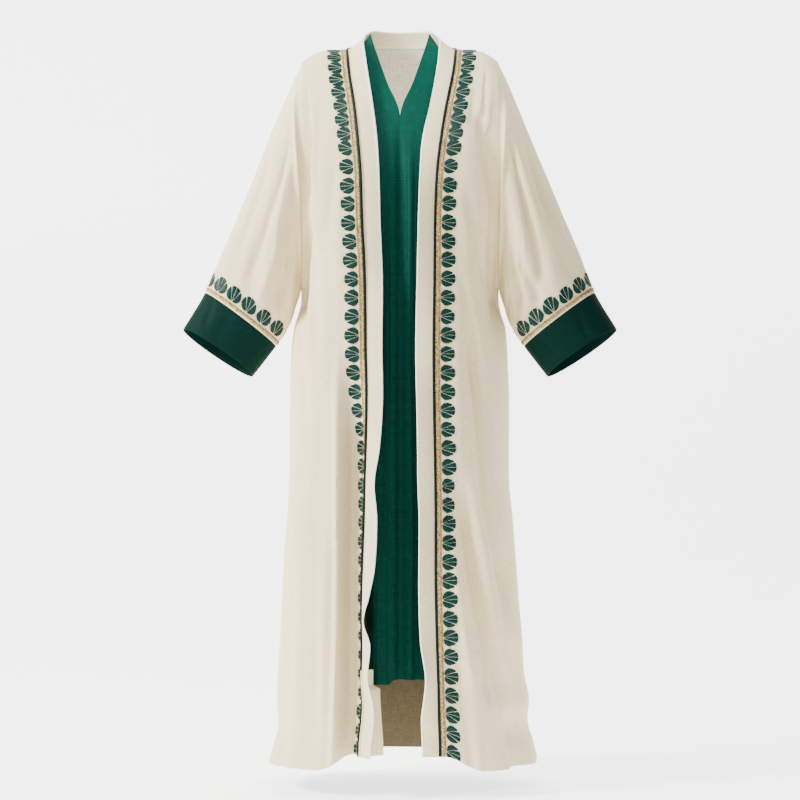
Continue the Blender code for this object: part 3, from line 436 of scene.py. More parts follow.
def crease_depth(creases, side, key, place, across=1.0):
    """Depth of the creases that cross a place; across turns the place's unit into metres."""
    depth = 0.0
    for crease_side, run, half_width, most in creases:
        if crease_side != side:
            continue
        first, last = run[0][0], run[-1][0]
        tail = 0.25 * (last - first)
        ends = fade(key, first, first + tail)
        if last < HEM_DROP:
            ends = ends * (1 - fade(key, last - tail, last))
        offset = (place - Table(run)(key)[0]) * across / half_width
        depth = depth + most * ends * np.exp(-offset * offset)
    return depth


def dip_depth(x, drop):
    """Depth of the dip beside the wearer's right opening."""
    centre, depth, half_width, wall = read_dip(drop)
    share = np.minimum(np.abs(x - centre) / half_width, 1.0)
    rest = DIP_REST * (1 - fade(x, centre, 2 * centre))
    up = 1 - np.clip((x - read_seam(drop)[0]) / wall, 0, 1)
    return depth * (rest + (1 - rest) * (0.5 + 0.5 * np.cos(pi * share))) * (1 - up ** 3)


def wave_depth(u, drop):
    """Soft waves that deepen towards the hem."""
    waves = 0.60 * np.sin(3.6 * pi * u + 0.7) + 0.40 * np.sin(5.7 * pi * u + 2.1)
    return waves * fade(drop, 0.50, HEM_DROP)


def ripple(x, drop, seed):
    """Faint uneven folds that run down the cloth."""
    total = 0.0
    draw = np.random.default_rng(seed)
    for pitch in (0.090, 0.061, 0.043, 0.029):
        start, drift, sway, beat = draw.uniform(0, 2 * pi, 4)
        line = x + 0.012 * np.sin(drop * 4.1 + drift) + 0.006 * np.sin(drop * 9.3 + sway)
        swell = 0.5 + 0.5 * np.sin(drop * (3.1 + beat * 0.4) + beat)
        total = total + pitch * np.sin(2 * pi * line / pitch + start) * swell
    return total * 0.020


def hem_lift(x, t):
    """The fronts' corners hang a little higher than the rest of the hem."""
    return 0.030 * (1 - fade(np.abs(x), 0.085, 0.165)) * fade(t, 1.70, 2.0)


def front_surface(side, u, t):
    """One front: u from the opening to the side, t down from the shoulder."""
    u, t = np.broadcast_arrays(np.asarray(u, float), np.asarray(t, float))
    one = np.ones_like(u)

    def near(v):
        return opening(side, v)

    def far(v):
        return side_edge(side, v, False)

    def top(w):
        return shoulder(side, w)

    def low(w):
        return arch(near(one), far(one), w)

    yoke = patch(u, np.minimum(t, 1.0), top, low, near, far)
    point = relax(np.where((t <= 1)[..., None], yoke, arch(near(t), far(t), u)), u, t)
    drop = drop_at(t)
    x = np.abs(point[..., 0])
    depth = CREASE_GAIN * crease_depth(CREASES, side, drop, x)
    depth = depth + 0.006 * wave_depth(side * u, drop) * np.sin(pi * u)
    depth = depth * fade(u, 0, 0.02)
    if side < 0:
        depth = depth + dip_depth(x, drop)
    depth = depth * (1 - fade(u, 0.97, 1.0))
    fine = FINE_GAIN * crease_depth(FRONT_CREASES, side, drop, x)
    fine = fine + ripple(x, drop, 11 + side) * fade(drop, 0.05, 0.5)
    depth = depth + fine * fade(u, 0.05, 0.22) * (1 - fade(u, 0.97, 1.0)) * fade(t, 0, 0.25)
    point = point - vector(side * np.sin(u * pi / 2), -np.cos(u * pi / 2), 0 * u) * depth[..., None]
    point[..., 2] += hem_lift(point[..., 0], t)
    return point


def neck_seam(side, share):
    """Neck seam from the centre back to the shoulder."""
    x, y, z = read_neck(share)[:3]
    end = pick(OPENING_SEAM[0][1:], side) / NECK[-1][1]
    return vector(side * x * (1 + (end - 1) * share), y, z)


def neck_free(side, share):
    """Standing edge of the band behind the neck."""
    x, y, z = read_neck(share)[3:]
    end = pick(BAND_EDGE[0][1:3], side) / NECK[-1][4]
    return vector(side * x * (1 + (end - 1) * share), y, z)


def back_surface(side, u, t):
    """Half of the back: u from the centre to the side."""
    u, t = np.broadcast_arrays(np.asarray(u, float), np.asarray(t, float))
    one = np.ones_like(u)

    def far(v):
        return side_edge(side, v, True)

    def top(w):
        neck = neck_seam(side, np.minimum(w / NECK_SHARE, 1.0))
        beyond = shoulder(side, np.clip((w - NECK_SHARE) / (1 - NECK_SHARE), 0, 1))
        return np.where((w <= NECK_SHARE)[..., None], neck, beyond)

    def low(w):
        return arch(centre_back(one), far(one), w)

    yoke = patch(u, np.minimum(t, 1.0), top, low, centre_back, far)
    point = relax(np.where((t <= 1)[..., None], yoke, arch(centre_back(t), far(t), u)), 1 - 0.5 * u, t)
    drop = drop_at(t)
    x = np.abs(point[..., 0])
    fine = crease_depth(BACK_CREASES, side, drop, x) * fade(u, 0.0, 0.15)
    fine = fine + ripple(point[..., 0], drop, 31) * fade(drop, 0.10, 0.6) * 1.2
    depth = 0.013 * wave_depth(side * u, drop) * (1 - fade(u, 0.8, 1.0))
    depth = depth + fine * (1 - fade(u, 0.93, 1.0)) * fade(t, 0.1, 0.5)
    return point - vector(side * np.sin(u * pi / 2), np.cos(u * pi / 2), 0 * u) * depth[..., None]


def band_free(side, t):
    """Free edge of the band beside the opening."""
    seam = opening(side, t)
    drop = drop_at(t)
    right_x, left_x, rise = read_free(drop)
    x = pick((right_x, left_x), side)
    dx = np.abs(seam[..., 0]) - x
    forward = np.sqrt(np.maximum(BAND_WIDTH ** 2 - dx * dx - rise * rise, 0.0)) * fade(drop, 0.15, 0.35)
    return vector(side * x, seam[..., 1] - forward, seam[..., 2] + rise + hem_lift(seam[..., 0], t))


def inner_surface(x, key):
    """Inner front at a signed distance from its centre line, down its keys."""
    x, key = np.broadcast_arrays(np.asarray(x, float), np.asarray(key, float))
    values = read_inner(key)
    edge, middle, outer = vector(*values[0:3]), vector(*values[3:6]), vector(*values[6:9])
    edge[..., 0] = np.where(key >= V_POINT_KEY, 0.0, edge[..., 0])
    share = np.abs(x) / INNER_WIDTH
    first = mix(edge, middle, np.minimum(share / 0.5, 1))
    point = np.where((share <= 0.5)[..., None], first, mix(middle, outer, np.clip((share - 0.5) / 0.5, 0, 1)))
    point[..., 1] -= 0.006 * 4 * share * (1 - share) * fade(-point[..., 2], 0.06, 0.20)
    side = np.where(x < 0, -1.0, 1.0)
    away = point[..., 0]
    hang = fade(key, V_POINT_KEY, V_POINT_KEY + 1.5)
    gather = GATHER_DEPTH * (1 + 0.8 * fade(key, 4, 12)) * np.sin(2 * pi * side * away / GATHER_PITCH + 1.2)
    gather = gather * (1 - fade(away, GATHER_REACH * 0.6, GATHER_REACH)) * fade(away, 0, 0.008)
    point[..., 1] += hang * (PLEAT_DEPTH * np.exp(-(away / PLEAT_HALF_WIDTH) ** 2) + gather)
    for place, half_width, depth, start in INNER_PLEATS:
        line = place * (0.72 + 0.28 * fade(key, 3, 12)) + 0.0012 * np.sin(key * 1.3 + place * 90)
        grow = fade(key, start, start + 1.6) * (0.75 + 0.25 * np.sin(key * 1.1 + place * 210))
        point[..., 1] += depth * grow * np.exp(-((side * away - line) / half_width) ** 2)
    point[..., 2] += INNER_STEP * fade(side * away, -0.022, -0.012) * fade(key, 11.0, 12.0)
    right = side < 0
    lower = fade(key, 5.0, 12.0)
    point[..., 1] -= right * RIDGE * lower * np.exp(-((away - RIDGE_X) / RIDGE_HALF_WIDTH) ** 2)
    point[..., 1] += right * DIP_ROOM * fade(away, 0.058, 0.075) * fade(key, 6.5, 8.5)
    beyond = away - TURN_X - TURN_SLANT * (1 - fade(key, 7.0, 11.0))
    over = right * (beyond + np.sqrt(beyond ** 2 + TURN_SOFTNESS ** 2)) / 2
    point[..., 1] += TURN_BACK * over
    point[..., 0] = (away - TURN_IN * over) * side
    return point


def grid_normals(grid, flip, around=False):
    """Outward unit normals of a grid of points."""
    if around:
        wrapped = np.concatenate([grid[:, -2:-1], grid, grid[:, 1:2]], axis=1)
        along = np.gradient(wrapped, axis=1)[:, 1:-1]
    else:
        along = np.gradient(grid, axis=1)
    normal = np.cross(np.gradient(grid, axis=0), along)
    return unit(-normal if flip else normal)


def lengths(points, axis):
    """Running length of a grid's lines along an axis."""
    steps = np.linalg.norm(np.diff(points, axis=axis), axis=-1)
    total = np.cumsum(steps, axis=axis)
    start = np.zeros_like(np.take(total, [0], axis=axis))
    return np.concatenate([start, total], axis=axis)


def resample(grid, wanted):
    """Points of each row at set distances from its start, given for all rows or for each."""
    run = lengths(grid, 1)
    rows = []
    for i, row in enumerate(grid):
        places = wanted(run[i, -1]) if callable(wanted) else wanted
        rows.append([np.interp(places, run[i], row[:, axis]) for axis in range(3)])
    return np.moveaxis(np.array(rows), 1, 2)


def make_mesh(name, points, faces, material, uv=None, smooth=60):
    """Add a mesh object; uv holds one pair for each point."""
    mesh = bpy.data.meshes.new(name)
    mesh.from_pydata(np.asarray(points).tolist(), [], np.asarray(faces).tolist())
    mesh.shade_smooth()
    mesh.set_sharp_from_angle(angle=smooth * pi / 180)
    if uv is not None:
        layer = mesh.uv_layers.new(name="UVMap")
        corners = np.empty(len(mesh.loops), dtype=np.int32)
        mesh.loops.foreach_get("vertex_index", corners)
        layer.data.foreach_set("uv", np.asarray(uv, dtype=np.float32)[corners].ravel())
    for item in material if isinstance(material, (list, tuple)) else [material]:
        mesh.materials.append(item)
    piece = bpy.data.objects.new(name, mesh)
    bpy.context.collection.objects.link(piece)
    return piece


def quads(rows, columns, start=0, flip=False):
    """Faces of a grid of points."""
    i, j = np.meshgrid(np.arange(rows - 1), np.arange(columns - 1), indexing="ij")
    a = (start + i * columns + j).ravel()
    faces = np.stack([a, a + columns, a + columns + 1, a + 1], axis=1)
    return faces[:, ::-1] if flip else faces


def shell(name, grid, outer, inner, materials, flip, around=False):
    """Closed cloth wall: an outer and an inner layer, joined along the rims."""
    rows, columns = grid.shape[:2]
    normals = grid_normals(grid, flip, around)
    layers = []
    for offset in (outer, inner):
        layers.append(grid + normals * np.broadcast_to(offset, (rows, columns))[..., None])
    points = np.concatenate([layer.reshape(-1, 3) for layer in layers])
    count = rows * columns
    faces = [quads(rows, columns, 0, flip), quads(rows, columns, count, not flip)]
    index = np.arange(count).reshape(rows, columns)
    ring = np.concatenate([index[0], index[1:, -1], index[-1, -2::-1], index[-2:0:-1, 0]])
    after = np.roll(ring, -1)
    rim = np.stack([ring, after, after + count, ring + count], axis=1)
    faces.append(rim[:, ::-1] if flip else rim)
    across = lengths(grid, 1)
    down = np.broadcast_to(lengths(grid, 0).mean(axis=1, keepdims=True), (rows, columns))
    uv = np.stack([across, down], axis=-1).reshape(-1, 2)
    piece = make_mesh(name, points, np.concatenate(faces), materials, np.concatenate([uv, uv]))
    if isinstance(materials, (list, tuple)) and len(materials) > 1:
        shown = np.zeros(len(piece.data.polygons), dtype=np.int32)
        shown[len(faces[0]):] = 1
        piece.data.polygons.foreach_set("material_index", shown)
    return piece


# Materials
class Look:
    """Material in the making: its nodes, links and shader."""

    def __init__(self, name, roughness, specular, metallic=0.0):
        self.material = bpy.data.materials.new(name)
        self.material.use_nodes = True
        self.tree = self.material.node_tree
        self.shader = self.tree.nodes["Principled BSDF"]
        self.feed(self.shader, {"Roughness": roughness, "Specular IOR Level": specular, "Metallic": metallic})

    def feed(self, made, inputs):
        """Give each input a value, or link it to another node's output."""
        for key, value in inputs.items():
            if isinstance(value, bpy.types.NodeSocket):
                self.tree.links.new(value, made.inputs[key])
            else:
                made.inputs[key].default_value = value

    def add(self, kind, inputs, output, **settings):
        """Add a node and give back one of its outputs."""
        made = self.tree.nodes.new(kind)
        for key, value in settings.items():
            setattr(made, key, value)
        self.feed(made, inputs)
        return made.outputs[output]

    def axis(self, place, name):
        """One coordinate of a place."""
        return self.add("ShaderNodeSeparateXYZ", {0: place}, name)

    def noise(self, place, scale, detail):
        """Soft noise over a place."""
        return self.add("ShaderNodeTexNoise", {"Vector": place, "Scale": scale, "Detail": detail}, "Fac")

    def maths(self, operation, first, second):
        """Join two numbers."""
        return self.add("ShaderNodeMath", {0: first, 1: second}, 0, operation=operation)

    def level(self, value, low, high, start=0.0, end=1.0):
        """Share of the way from low to high, held at both ends, as a number from start to end."""
        inputs = {"Value": value, "From Min": low, "From Max": high, "To Min": start, "To Max": end}
        return self.add("ShaderNodeMapRange", inputs, 0)

    def ramp(self, factor, stops):
        """Colour that blends between stops, each a position and a colour."""
        made = self.tree.nodes.new("ShaderNodeValToRGB")
        self.feed(made, {"Fac": factor})
        marks = made.color_ramp.elements
        for mark, (position, colour) in ((marks[0], stops[0]), (marks[1], stops[-1])):
            mark.position = position
            mark.color = colour
        for position, colour in stops[1:-1]:
            marks.new(position).color = colour
        return made.outputs["Color"]

    def finish(self, colour, height, relief):
        """Set the colour and the relief, in metres."""
        bump = self.add("ShaderNodeBump", {"Strength": 1.0, "Distance": relief, "Height": height}, "Normal")
        self.feed(self.shader, {"Base Color": colour, "Normal": bump})
        return self.material


def linear(red, green, blue):
    """Colour of a picture's 0 to 255 values as the shader needs it."""
    parts = []
    for value in (red / 255, green / 255, blue / 255):
        parts.append(value / 12.92 if value <= 0.04045 else ((value + 0.055) / 1.055) ** 2.4)
    return (*parts, 1.0)


def woven(name, light, dark, roughness, thread, streak, relief, contrast=0.5, painted_shade=None, edge=0.0):
    """Cloth with threads both ways: thread and streak are metres, the painted shade darkens it towards a tint
    below a height, and edge is the width of a band whose rims are painted near white, a painted highlight."""
    look = Look(name, roughness, CLOTH_SPECULAR)
    place = look.add("ShaderNodeUVMap", {}, "UV")
    grains = []
    for scale in ((1 / streak, 1 / thread, 1), (1 / thread, 1 / streak, 1)):
        stretched = look.add("ShaderNodeMapping", {"Vector": place, "Scale": scale}, "Vector")
        grains.append(look.noise(stretched, 1.0, 3.0))
    weave = look.maths("MULTIPLY", look.maths("ADD", *grains), 0.5)
    colour = look.ramp(weave, ((0.5 - 0.25 * contrast, dark), (0.5 + 0.25 * contrast, light)))
    # Painted shade: the colour is darkened towards a dark tint below a height, for the shade inside the robe.
    if painted_shade:
        low, high, shade_tint = painted_shade
        spot = look.add("ShaderNodeTexCoord", {}, "Object")
        shade = look.ramp(look.level(look.axis(spot, "Z"), low, high), ((0, shade_tint), (1, WHITE)))
        colour = look.add("ShaderNodeMix", {"Factor": 1.0, 6: colour, 7: shade}, 2,
                          data_type="RGBA", blend_type="MULTIPLY")
    # Painted highlight: both rims of the band are painted near white, for light on its pressed edges.
    if edge:
        across = look.maths("DIVIDE", look.axis(place, "X"), edge)
        rims = look.ramp(across, ((0, WHITE), (0.070, WHITE), (0.095, BLACK),
                                  (0.915, BLACK), (0.940, WHITE), (1, WHITE)))
        colour = look.add("ShaderNodeMix", {"Factor": rims, 6: colour, 7: linear(252, 247, 232)}, 2,
                          data_type="RGBA")
    return look.finish(colour, weave, relief)


def speckled(name, colours, size, roughness, metallic, relief):
    """Trim that changes colour in small specks."""
    look = Look(name, roughness, TRIM_SPECULAR, metallic)
    grain = look.noise(look.add("ShaderNodeTexCoord", {}, "Object"), 1 / size, 2.0)
    stops = [(0.36, colours[0]), (0.64, colours[-1])]
    if len(colours) == 3:
        stops.insert(1, (0.5, colours[1]))
    return look.finish(look.ramp(grain, stops), grain, relief)


CLOTH_SPECULAR = 0.05
TRIM_SPECULAR = 0.15
WHITE = (1.0, 1.0, 1.0, 1.0)
BLACK = (0.0, 0.0, 0.0, 1.0)
LINEN_LOOK = woven("linen_look", linear(243, 229, 189), linear(222, 205, 161), 0.9,
                   0.0011, 0.018, 0.00025)
# Inside of the linen: colours lighter than the outside's, as painted light for the inside neck, and darkened
# towards the hem as painted shade.
INSIDE_LOOK = woven("linen_inside_look", linear(248, 238, 212), linear(206, 190, 158), 0.95,
                    0.0024, 0.022, 0.0005, 0.7, painted_shade=(-0.95, -0.15, linear(116, 110, 94)))
# Band cloth, with a painted highlight along both rims.
BAND_LOOK = woven("band_look", linear(239, 226, 187), linear(218, 202, 158), 0.85,
                  0.0010, 0.014, 0.0002, edge=BAND_WIDTH)
CREPE_LOOK = woven("green_crepe_look", linear(2, 68, 56), linear(0, 50, 41), 0.62,
                   0.0009, 0.030, 0.00012)
CUFF_LOOK = woven("green_cuff_look", linear(1, 38, 32), linear(0, 28, 23), 0.62,
                  0.0009, 0.012, 0.00012)
BRAID_LOOK = speckled("gold_braid_look", (linear(122, 100, 48), linear(176, 154, 94), linear(228, 214, 170)),
                      0.0024, 0.55, 0.10, 0.0006)
GOLD_LOOK = speckled("gold_thread_look", (linear(84, 54, 20), linear(184, 146, 80)),
                     0.0040, 0.4, 0.25, 0.0001)
CORD_LOOK = speckled("tan_thread_look", (linear(196, 170, 124), linear(232, 214, 178)),
                     0.0030, 0.6, 0.0, 0.0001)
THREAD_LOOK = speckled("green_thread_look", (linear(0, 30, 25), linear(3, 56, 47)),
                       0.0030, 0.42, 0.0, 0.0001)
CREAM_LOOK = speckled("cream_thread_look", (linear(232, 220, 192), linear(248, 240, 220)),
                      0.0020, 0.6, 0.0, 0.0002)
SEED_LOOK = speckled("seed_bead_look", (linear(150, 108, 58), linear(236, 226, 198)),
                     0.0030, 0.35, 0.1, 0.0)
PIPING_LOOK = speckled("dark_piping_look", (linear(6, 12, 6), linear(16, 24, 14)),
                       0.0030, 0.5, 0.0, 0.0002)

# Fine rows and columns
UPPER = np.linspace(0, 1, 61)
ROWS = np.concatenate([UPPER, np.linspace(1, 2, 141)[1:]])
TRIM = np.arange(0, 0.0461, 0.0023)
FRONT_COLUMNS = 58
BACK_COLUMNS = 64


def front_columns(total):
    """Distances across a front: close together under the trim, wider beyond it."""
    return np.concatenate([TRIM, np.linspace(TRIM[-1], total, FRONT_COLUMNS + 1)[1:]])


def hemmed(run, depth):
    """Inner offset of a linen wall whose last stretch is turned up and sewn."""
    turned = 1 - fade(run[-1] - run, depth - 0.0015, depth)
    return -(LINEN + 0.0008 * turned)[:, None]


def hang(piece, solid, rests_on, **cut):
    """Show a cloth for its solid; cut gives the flat size and area of its sheet, but is not used."""
    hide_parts(solid)
    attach(piece, "root")


HEM_DEPTH = 0.016
FACING_HEM = 0.006
SIDES = ((-1, "right"), (1, "left"))

fronts = {}
for side, word in SIDES:
    rough = front_surface(side, (np.linspace(0, 1, 241) ** 2)[None, :], ROWS[:, None])
    grid = resample(rough, front_columns)
    grid[:, 0] = rough[:, 0]
    grid[:, -1] = side_edge(side, ROWS, False)
    fronts[side] = grid
    run = lengths(grid, 0).mean(axis=1)
    piece = shell("cloth_front_" + word, grid, 0.0, hemmed(run, HEM_DEPTH),
                  [LINEN_LOOK, INSIDE_LOOK], side < 0)
    hang(piece, "front_" + word, ["cloth_sleeve_" + word], flat=(0.33, 1.44), area=0.31)

across = np.concatenate([np.linspace(0, NECK_SHARE, 25), np.linspace(NECK_SHARE, 1, BACK_COLUMNS - 23)[1:]])
halves = [back_surface(side, across[None, :], ROWS[:, None]) for side in (-1, 1)]
halves[0][:, -1] = side_edge(-1, ROWS, True)
halves[1][:, -1] = side_edge(1, ROWS, True)
back_grid = np.concatenate([halves[0][:, :0:-1], halves[1]], axis=1)
run = lengths(back_grid, 0).mean(axis=1)
piece = shell("cloth_back", back_grid, 0.0, hemmed(run, HEM_DEPTH),
              [LINEN_LOOK, INSIDE_LOOK], True)
hang(piece, "back", ["cloth_front_left", "cloth_front_right"], flat=(0.62, 1.43), area=0.82)

# Angles round a sleeve, from the underarm over the back and top to the front
angles = np.linspace(-pi, pi, 121)
sleeves = {}
for side, word in SIDES:
    reach = np.linspace(0, CUFF_REACH, 105)
    grid = sleeve_point(side, reach[:, None], angles[None, :])
    normals = grid_normals(grid, side > 0, True)
    around = np.maximum(read_sleeve(reach)[4], 0.03)[:, None] * 1.3
    depth = SLEEVE_GAIN * crease_depth(SLEEVE_CREASES, side, reach[:, None], angles[None, :], around)
    roll = ROLL[2] * np.exp(-((reach[:, None] - ROLL[0]) / ROLL[1]) ** 2)
    depth = depth - roll * np.sin(angles[None, :]) ** 2
    arc = angles[None, :] * around
    calm = 1 - fade(np.abs(angles)[None, :], 2.6, 3.1)
    depth = depth + ripple(arc, reach[:, None] * 1.6, 51 + side) * calm
    depth = depth * fade(reach, 0.0, 0.05)[:, None] * (1 - 0.85 * fade(reach, 0.42, CUFF_REACH))[:, None]
    grid = grid - normals * depth[..., None]
    sleeves[side] = grid
    piece = shell("cloth_sleeve_" + word, grid, 0.0, -LINEN,
                  [LINEN_LOOK, INSIDE_LOOK], side > 0, True)
    hang(piece, "sleeve_" + word, ["cloth_front_" + word], flat=(0.62, 0.50), area=0.17)

    reach = np.linspace(CUFF_REACH, SLEEVE_REACH, 36)
    grid = sleeve_point(side, reach[:, None], angles[None, :])
    normals = grid_normals(grid, side > 0, True)
    depth = crease_depth(CUFF_CREASES, side, reach[:, None], angles[None, :], 0.06)
    grid = grid - normals * (depth * fade(reach, CUFF_REACH, CUFF_REACH + 0.004)[:, None])[..., None]
    soft = np.minimum(1, np.minimum(reach - reach[0], reach[-1] - reach) / 0.0025)
    piece = shell("cloth_cuff_" + word, grid, (0.0010 * np.sqrt(soft) - 0.0004)[:, None],
                  -(0.0012 + 0.0008 * np.sqrt(soft))[:, None], CUFF_LOOK, side > 0, True)
    hang(piece, "cuff_" + word, ["cloth_sleeve_" + word], flat=(0.42, 0.09), area=0.036)

bands = {}
for side, word in SIDES:
    shares = np.linspace(0, 1, 31)[:-1]
    seam = np.concatenate([neck_seam(side, shares), opening(side, ROWS)])
    free = np.concatenate([neck_free(side, shares), band_free(side, ROWS)])
    seam[len(shares):, 2] += hem_lift(seam[len(shares):, 0], ROWS)
    crown = np.concatenate([vector(side * 0.001 * shares, 0.001 * (1 - shares), 0 * shares),
                            vector(0 * ROWS, -0.0015 * fade(ROWS, 0, 0.3), 0 * ROWS)])
    v = np.array([0, 0.012, 0.035, 0.07, 0.14, 0.25, 0.38, 0.5, 0.62, 0.75, 0.86, 0.93, 0.965, 0.988, 1.0])
    w = v[:, None]
    grid = seam[:, None] * (1 - w) + free[:, None] * w + crown[:, None] * (4 * w * (1 - w))
    bands[side] = grid
    lip = 0.0007 * np.exp(-((v - 0.045) / 0.03) ** 2) + 0.0007 * np.exp(-((v - 0.955) / 0.03) ** 2)
    rounded = np.sqrt(np.clip(np.minimum(v, 1 - v) / 0.035, 0, 1))
    outer = lip - 0.0009 * (1 - rounded)
    inner = -BAND + 0.0009 * (1 - rounded)
    piece = shell("cloth_band_" + word, grid, outer[None, :], inner[None, :], BAND_LOOK, side > 0)
    hang(piece, "band_" + word, ["cloth_front_" + word], flat=(0.0352, 1.62))

key = np.concatenate([np.linspace(0, V_POINT_KEY, 41), np.linspace(V_POINT_KEY, 12, 121)[1:]])
station = np.concatenate([np.linspace(0, 0.062, 50), np.linspace(0.062, INNER_WIDTH, 18)[1:]])
for side, word in SIDES:
    grid = inner_surface(side * np.maximum(station, 1e-9)[None, :], key[:, None])
    piece = shell("cloth_inner_" + word, grid, 0.0, -CREPE, CREPE_LOOK, side < 0)
    hang(piece, "inner_front", ["cloth_front_" + word], flat=(0.18, 1.30), area=0.21)

# Facing strip behind the wearer's right band
lower = np.linspace(1 + 12 / 15, 2, 49)
seam = opening(-1, lower)
seam[:, 2] += hem_lift(seam[:, 0], lower)
free = band_free(-1, lower)
turn = unit(np.cross(np.gradient(seam, axis=0), seam - free))
hidden = mix(seam, (seam + free) / 2, np.full(len(lower), 0.3)) - turn * 0.0032
height = hidden[:, 2]
edge_x = np.where(height > -1.252, 0.0520, 0.0385 + 0.0135 * (1 - fade(height, -1.252, -1.260)))
edge_x = edge_x - 0.0065 * fade(height, -1.262, -1.388)
edge = vector(-edge_x, np.full(len(lower), -0.150), height)
v = np.linspace(0, 1, 13)
grid = hidden[:, None] * (1 - v[:, None]) + edge[:, None] * v[:, None]
grid[..., 1] += 0.0015 * np.sin(v * pi * 2)[None, :] * fade(height, -1.25, -1.32)[:, None]
run = lengths(grid, 0).mean(axis=1)
piece = shell("cloth_facing_right", grid, 0.0, hemmed(run, FACING_HEM), LINEN_LOOK, False)
hang(piece, "facing_right", ["cloth_band_right"], flat=(0.040, 0.20), area=0.0078)


class Strip:
    """Stretch of cloth along a seam: s runs along the seam, d away from it."""

    def __init__(self, grid, distances, flip):
        self.grid = grid
        self.distances = distances
        self.normals = grid_normals(grid, flip)
        self.run = lengths(grid, 0)[:, min(9, grid.shape[1] - 1)]

    def at(self, s, d, lift):
        """Points at places along and away from the seam, lifted off the cloth."""
        s, d, lift = np.broadcast_arrays(np.asarray(s, float), np.asarray(d, float), np.asarray(lift, float))
        i = np.clip(np.searchsorted(self.run, s, side="right") - 1, 0, len(self.run) - 2)
        f = ((np.clip(s, 0, self.run[-1]) - self.run[i]) / (self.run[i + 1] - self.run[i]))[..., None]
        j = np.clip(np.searchsorted(self.distances, d, side="right") - 1, 0, len(self.distances) - 2)
        g = ((d - self.distances[j]) / (self.distances[j + 1] - self.distances[j]))[..., None]
        found = []
        for values in (self.grid, self.normals):
            low = values[i, j] * (1 - g) + values[i, j + 1] * g
            high = values[i + 1, j] * (1 - g) + values[i + 1, j + 1] * g
            found.append(low * (1 - f) + high * f)
        return found[0] + unit(found[1]) * lift[..., None]


strips = {}
for side, word in SIDES:
    strips["front_" + word] = Strip(fronts[side][:, :len(TRIM)], TRIM, side < 0)
    ring = resample(np.swapaxes(sleeves[side][::-1], 0, 1)[:, :30], TRIM)
    strips["sleeve_" + word] = Strip(ring, TRIM, side > 0)
neck_rows = np.linspace(0, 0.4, 60)
halves = [back_surface(side, np.linspace(0, NECK_SHARE, 41)[None, :], neck_rows[:, None]) for side in (-1, 1)]
collar = np.concatenate([halves[0][:, :0:-1], halves[1]], axis=1)
strips["neck"] = Strip(resample(np.swapaxes(collar, 0, 1), TRIM), TRIM, False)


def leaf(near, far, swell, steps=12, across=5):
    """One raised petal between two edges in motif coordinates: metres outwards, along, and lift."""
    tau = np.linspace(0, 1, steps + 1)
    places = np.linspace(0, 1, len(near))
    low, high = (Table(np.column_stack([places, np.array(edge) / 1000]))(tau).T for edge in (near, far))
    w = np.linspace(0, 1, across)
    flat = low[:, None] * (1 - w[:, None]) + high[:, None] * w[:, None]
    flat[..., 0] += swell / 1000 * 4 * (w * (1 - w))[None, :] * tau[:, None] ** 4
    room = np.minimum(np.linalg.norm(high - low, axis=1) / 0.003, 1)
    ends = np.minimum(1, (1 - tau) / 0.08)
    lift = 0.0008 + 0.0006 * (4 * w * (1 - w))[None, :] ** 0.7 * (room * (0.3 + 0.7 * ends))[:, None]
    return np.concatenate([flat, lift[..., None]], axis=-1).reshape(-1, 3), quads(steps + 1, across)


def mirrored(points, faces):
    """The other half of a motif."""
    other = points.copy()
    other[:, 1] *= -1
    return other, faces[:, ::-1]


def joined(parts):
    """Join several lists of points and faces."""
    points, faces, count = [], [], 0
    for p, f in parts:
        points.append(p)
        faces.append(f + count)
        count += len(p)
    return np.concatenate(points), np.concatenate(faces)


def outline(steps=48):
    """Closed outline of a motif's ground."""
    half = np.array(GROUND) / 1000
    loop = np.concatenate([half, half[-2:0:-1] * (1, -1)])
    closed = np.concatenate([loop[-2:], loop, loop[:3]])
    read = Table(np.column_stack([np.arange(-2, len(loop) + 3), closed]))
    return read(np.linspace(0, len(loop), steps, endpoint=False)).T


def ground_patch():
    """Low cream ground under the petals."""
    loop = outline()
    centre = np.array([0.012, 0.0])
    rings = []
    for share, lift in ((0.0, 0.00042), (0.35, 0.00042), (0.7, 0.0004), (0.93, 0.00035), (1.0, 0.00002)):
        rings.append(np.column_stack([centre + (loop - centre) * share, np.full(len(loop), lift)]))
    grid = np.stack(rings)
    grid = np.concatenate([grid, grid[:, :1]], axis=1)
    return grid.reshape(-1, 3), quads(len(rings), len(loop) + 1)


def cord_ring(loop, radius, sides=5):
    """Cord laid along a closed flat line."""
    course = unit(np.roll(loop, -1, axis=0) - np.roll(loop, 1, axis=0))
    sideways = np.stack([course[:, 1], -course[:, 0]], axis=1)
    turn = np.linspace(0, 2 * pi, sides + 1)
    beat = 1 + 0.18 * np.cos(np.arange(len(loop)) * pi)[:, None]
    flat = loop[:, None] + sideways[:, None] * (np.cos(turn) * radius * beat)[..., None]
    lift = radius * 0.8 + radius * np.sin(turn) * beat
    grid = np.concatenate([flat, np.broadcast_to(lift, flat.shape[:2])[..., None]], axis=-1)
    grid = np.concatenate([grid, grid[:1]])
    return grid.reshape(-1, 3), quads(len(grid), sides + 1)


petals = joined([part for petal in PETALS for part in (leaf(*petal), mirrored(*leaf(*petal)))])
MOTIF_PARTS = (
    ("ground", ground_patch(), CREAM_LOOK, "linen"),
    ("petals", petals, THREAD_LOOK, "green_cloth"),
    ("cord", cord_ring(outline(56), 0.00030), CORD_LOOK, "gold_braid"),
)


def spread(strip, shape, places, scale):
    """Repeat a motif's shape along a strip."""
    points, faces = shape
    parts = []
    for s in places:
        size = scale * (1 + 0.025 * random.standard_normal())
        tilt = 0.03 * random.standard_normal()
        out = points[:, 0] * size
        along = points[:, 1] * size + points[:, 0] * tilt
        parts.append((strip.at(s + along, MOTIF_BASE + out, points[:, 2]), faces))
    return joined(parts)


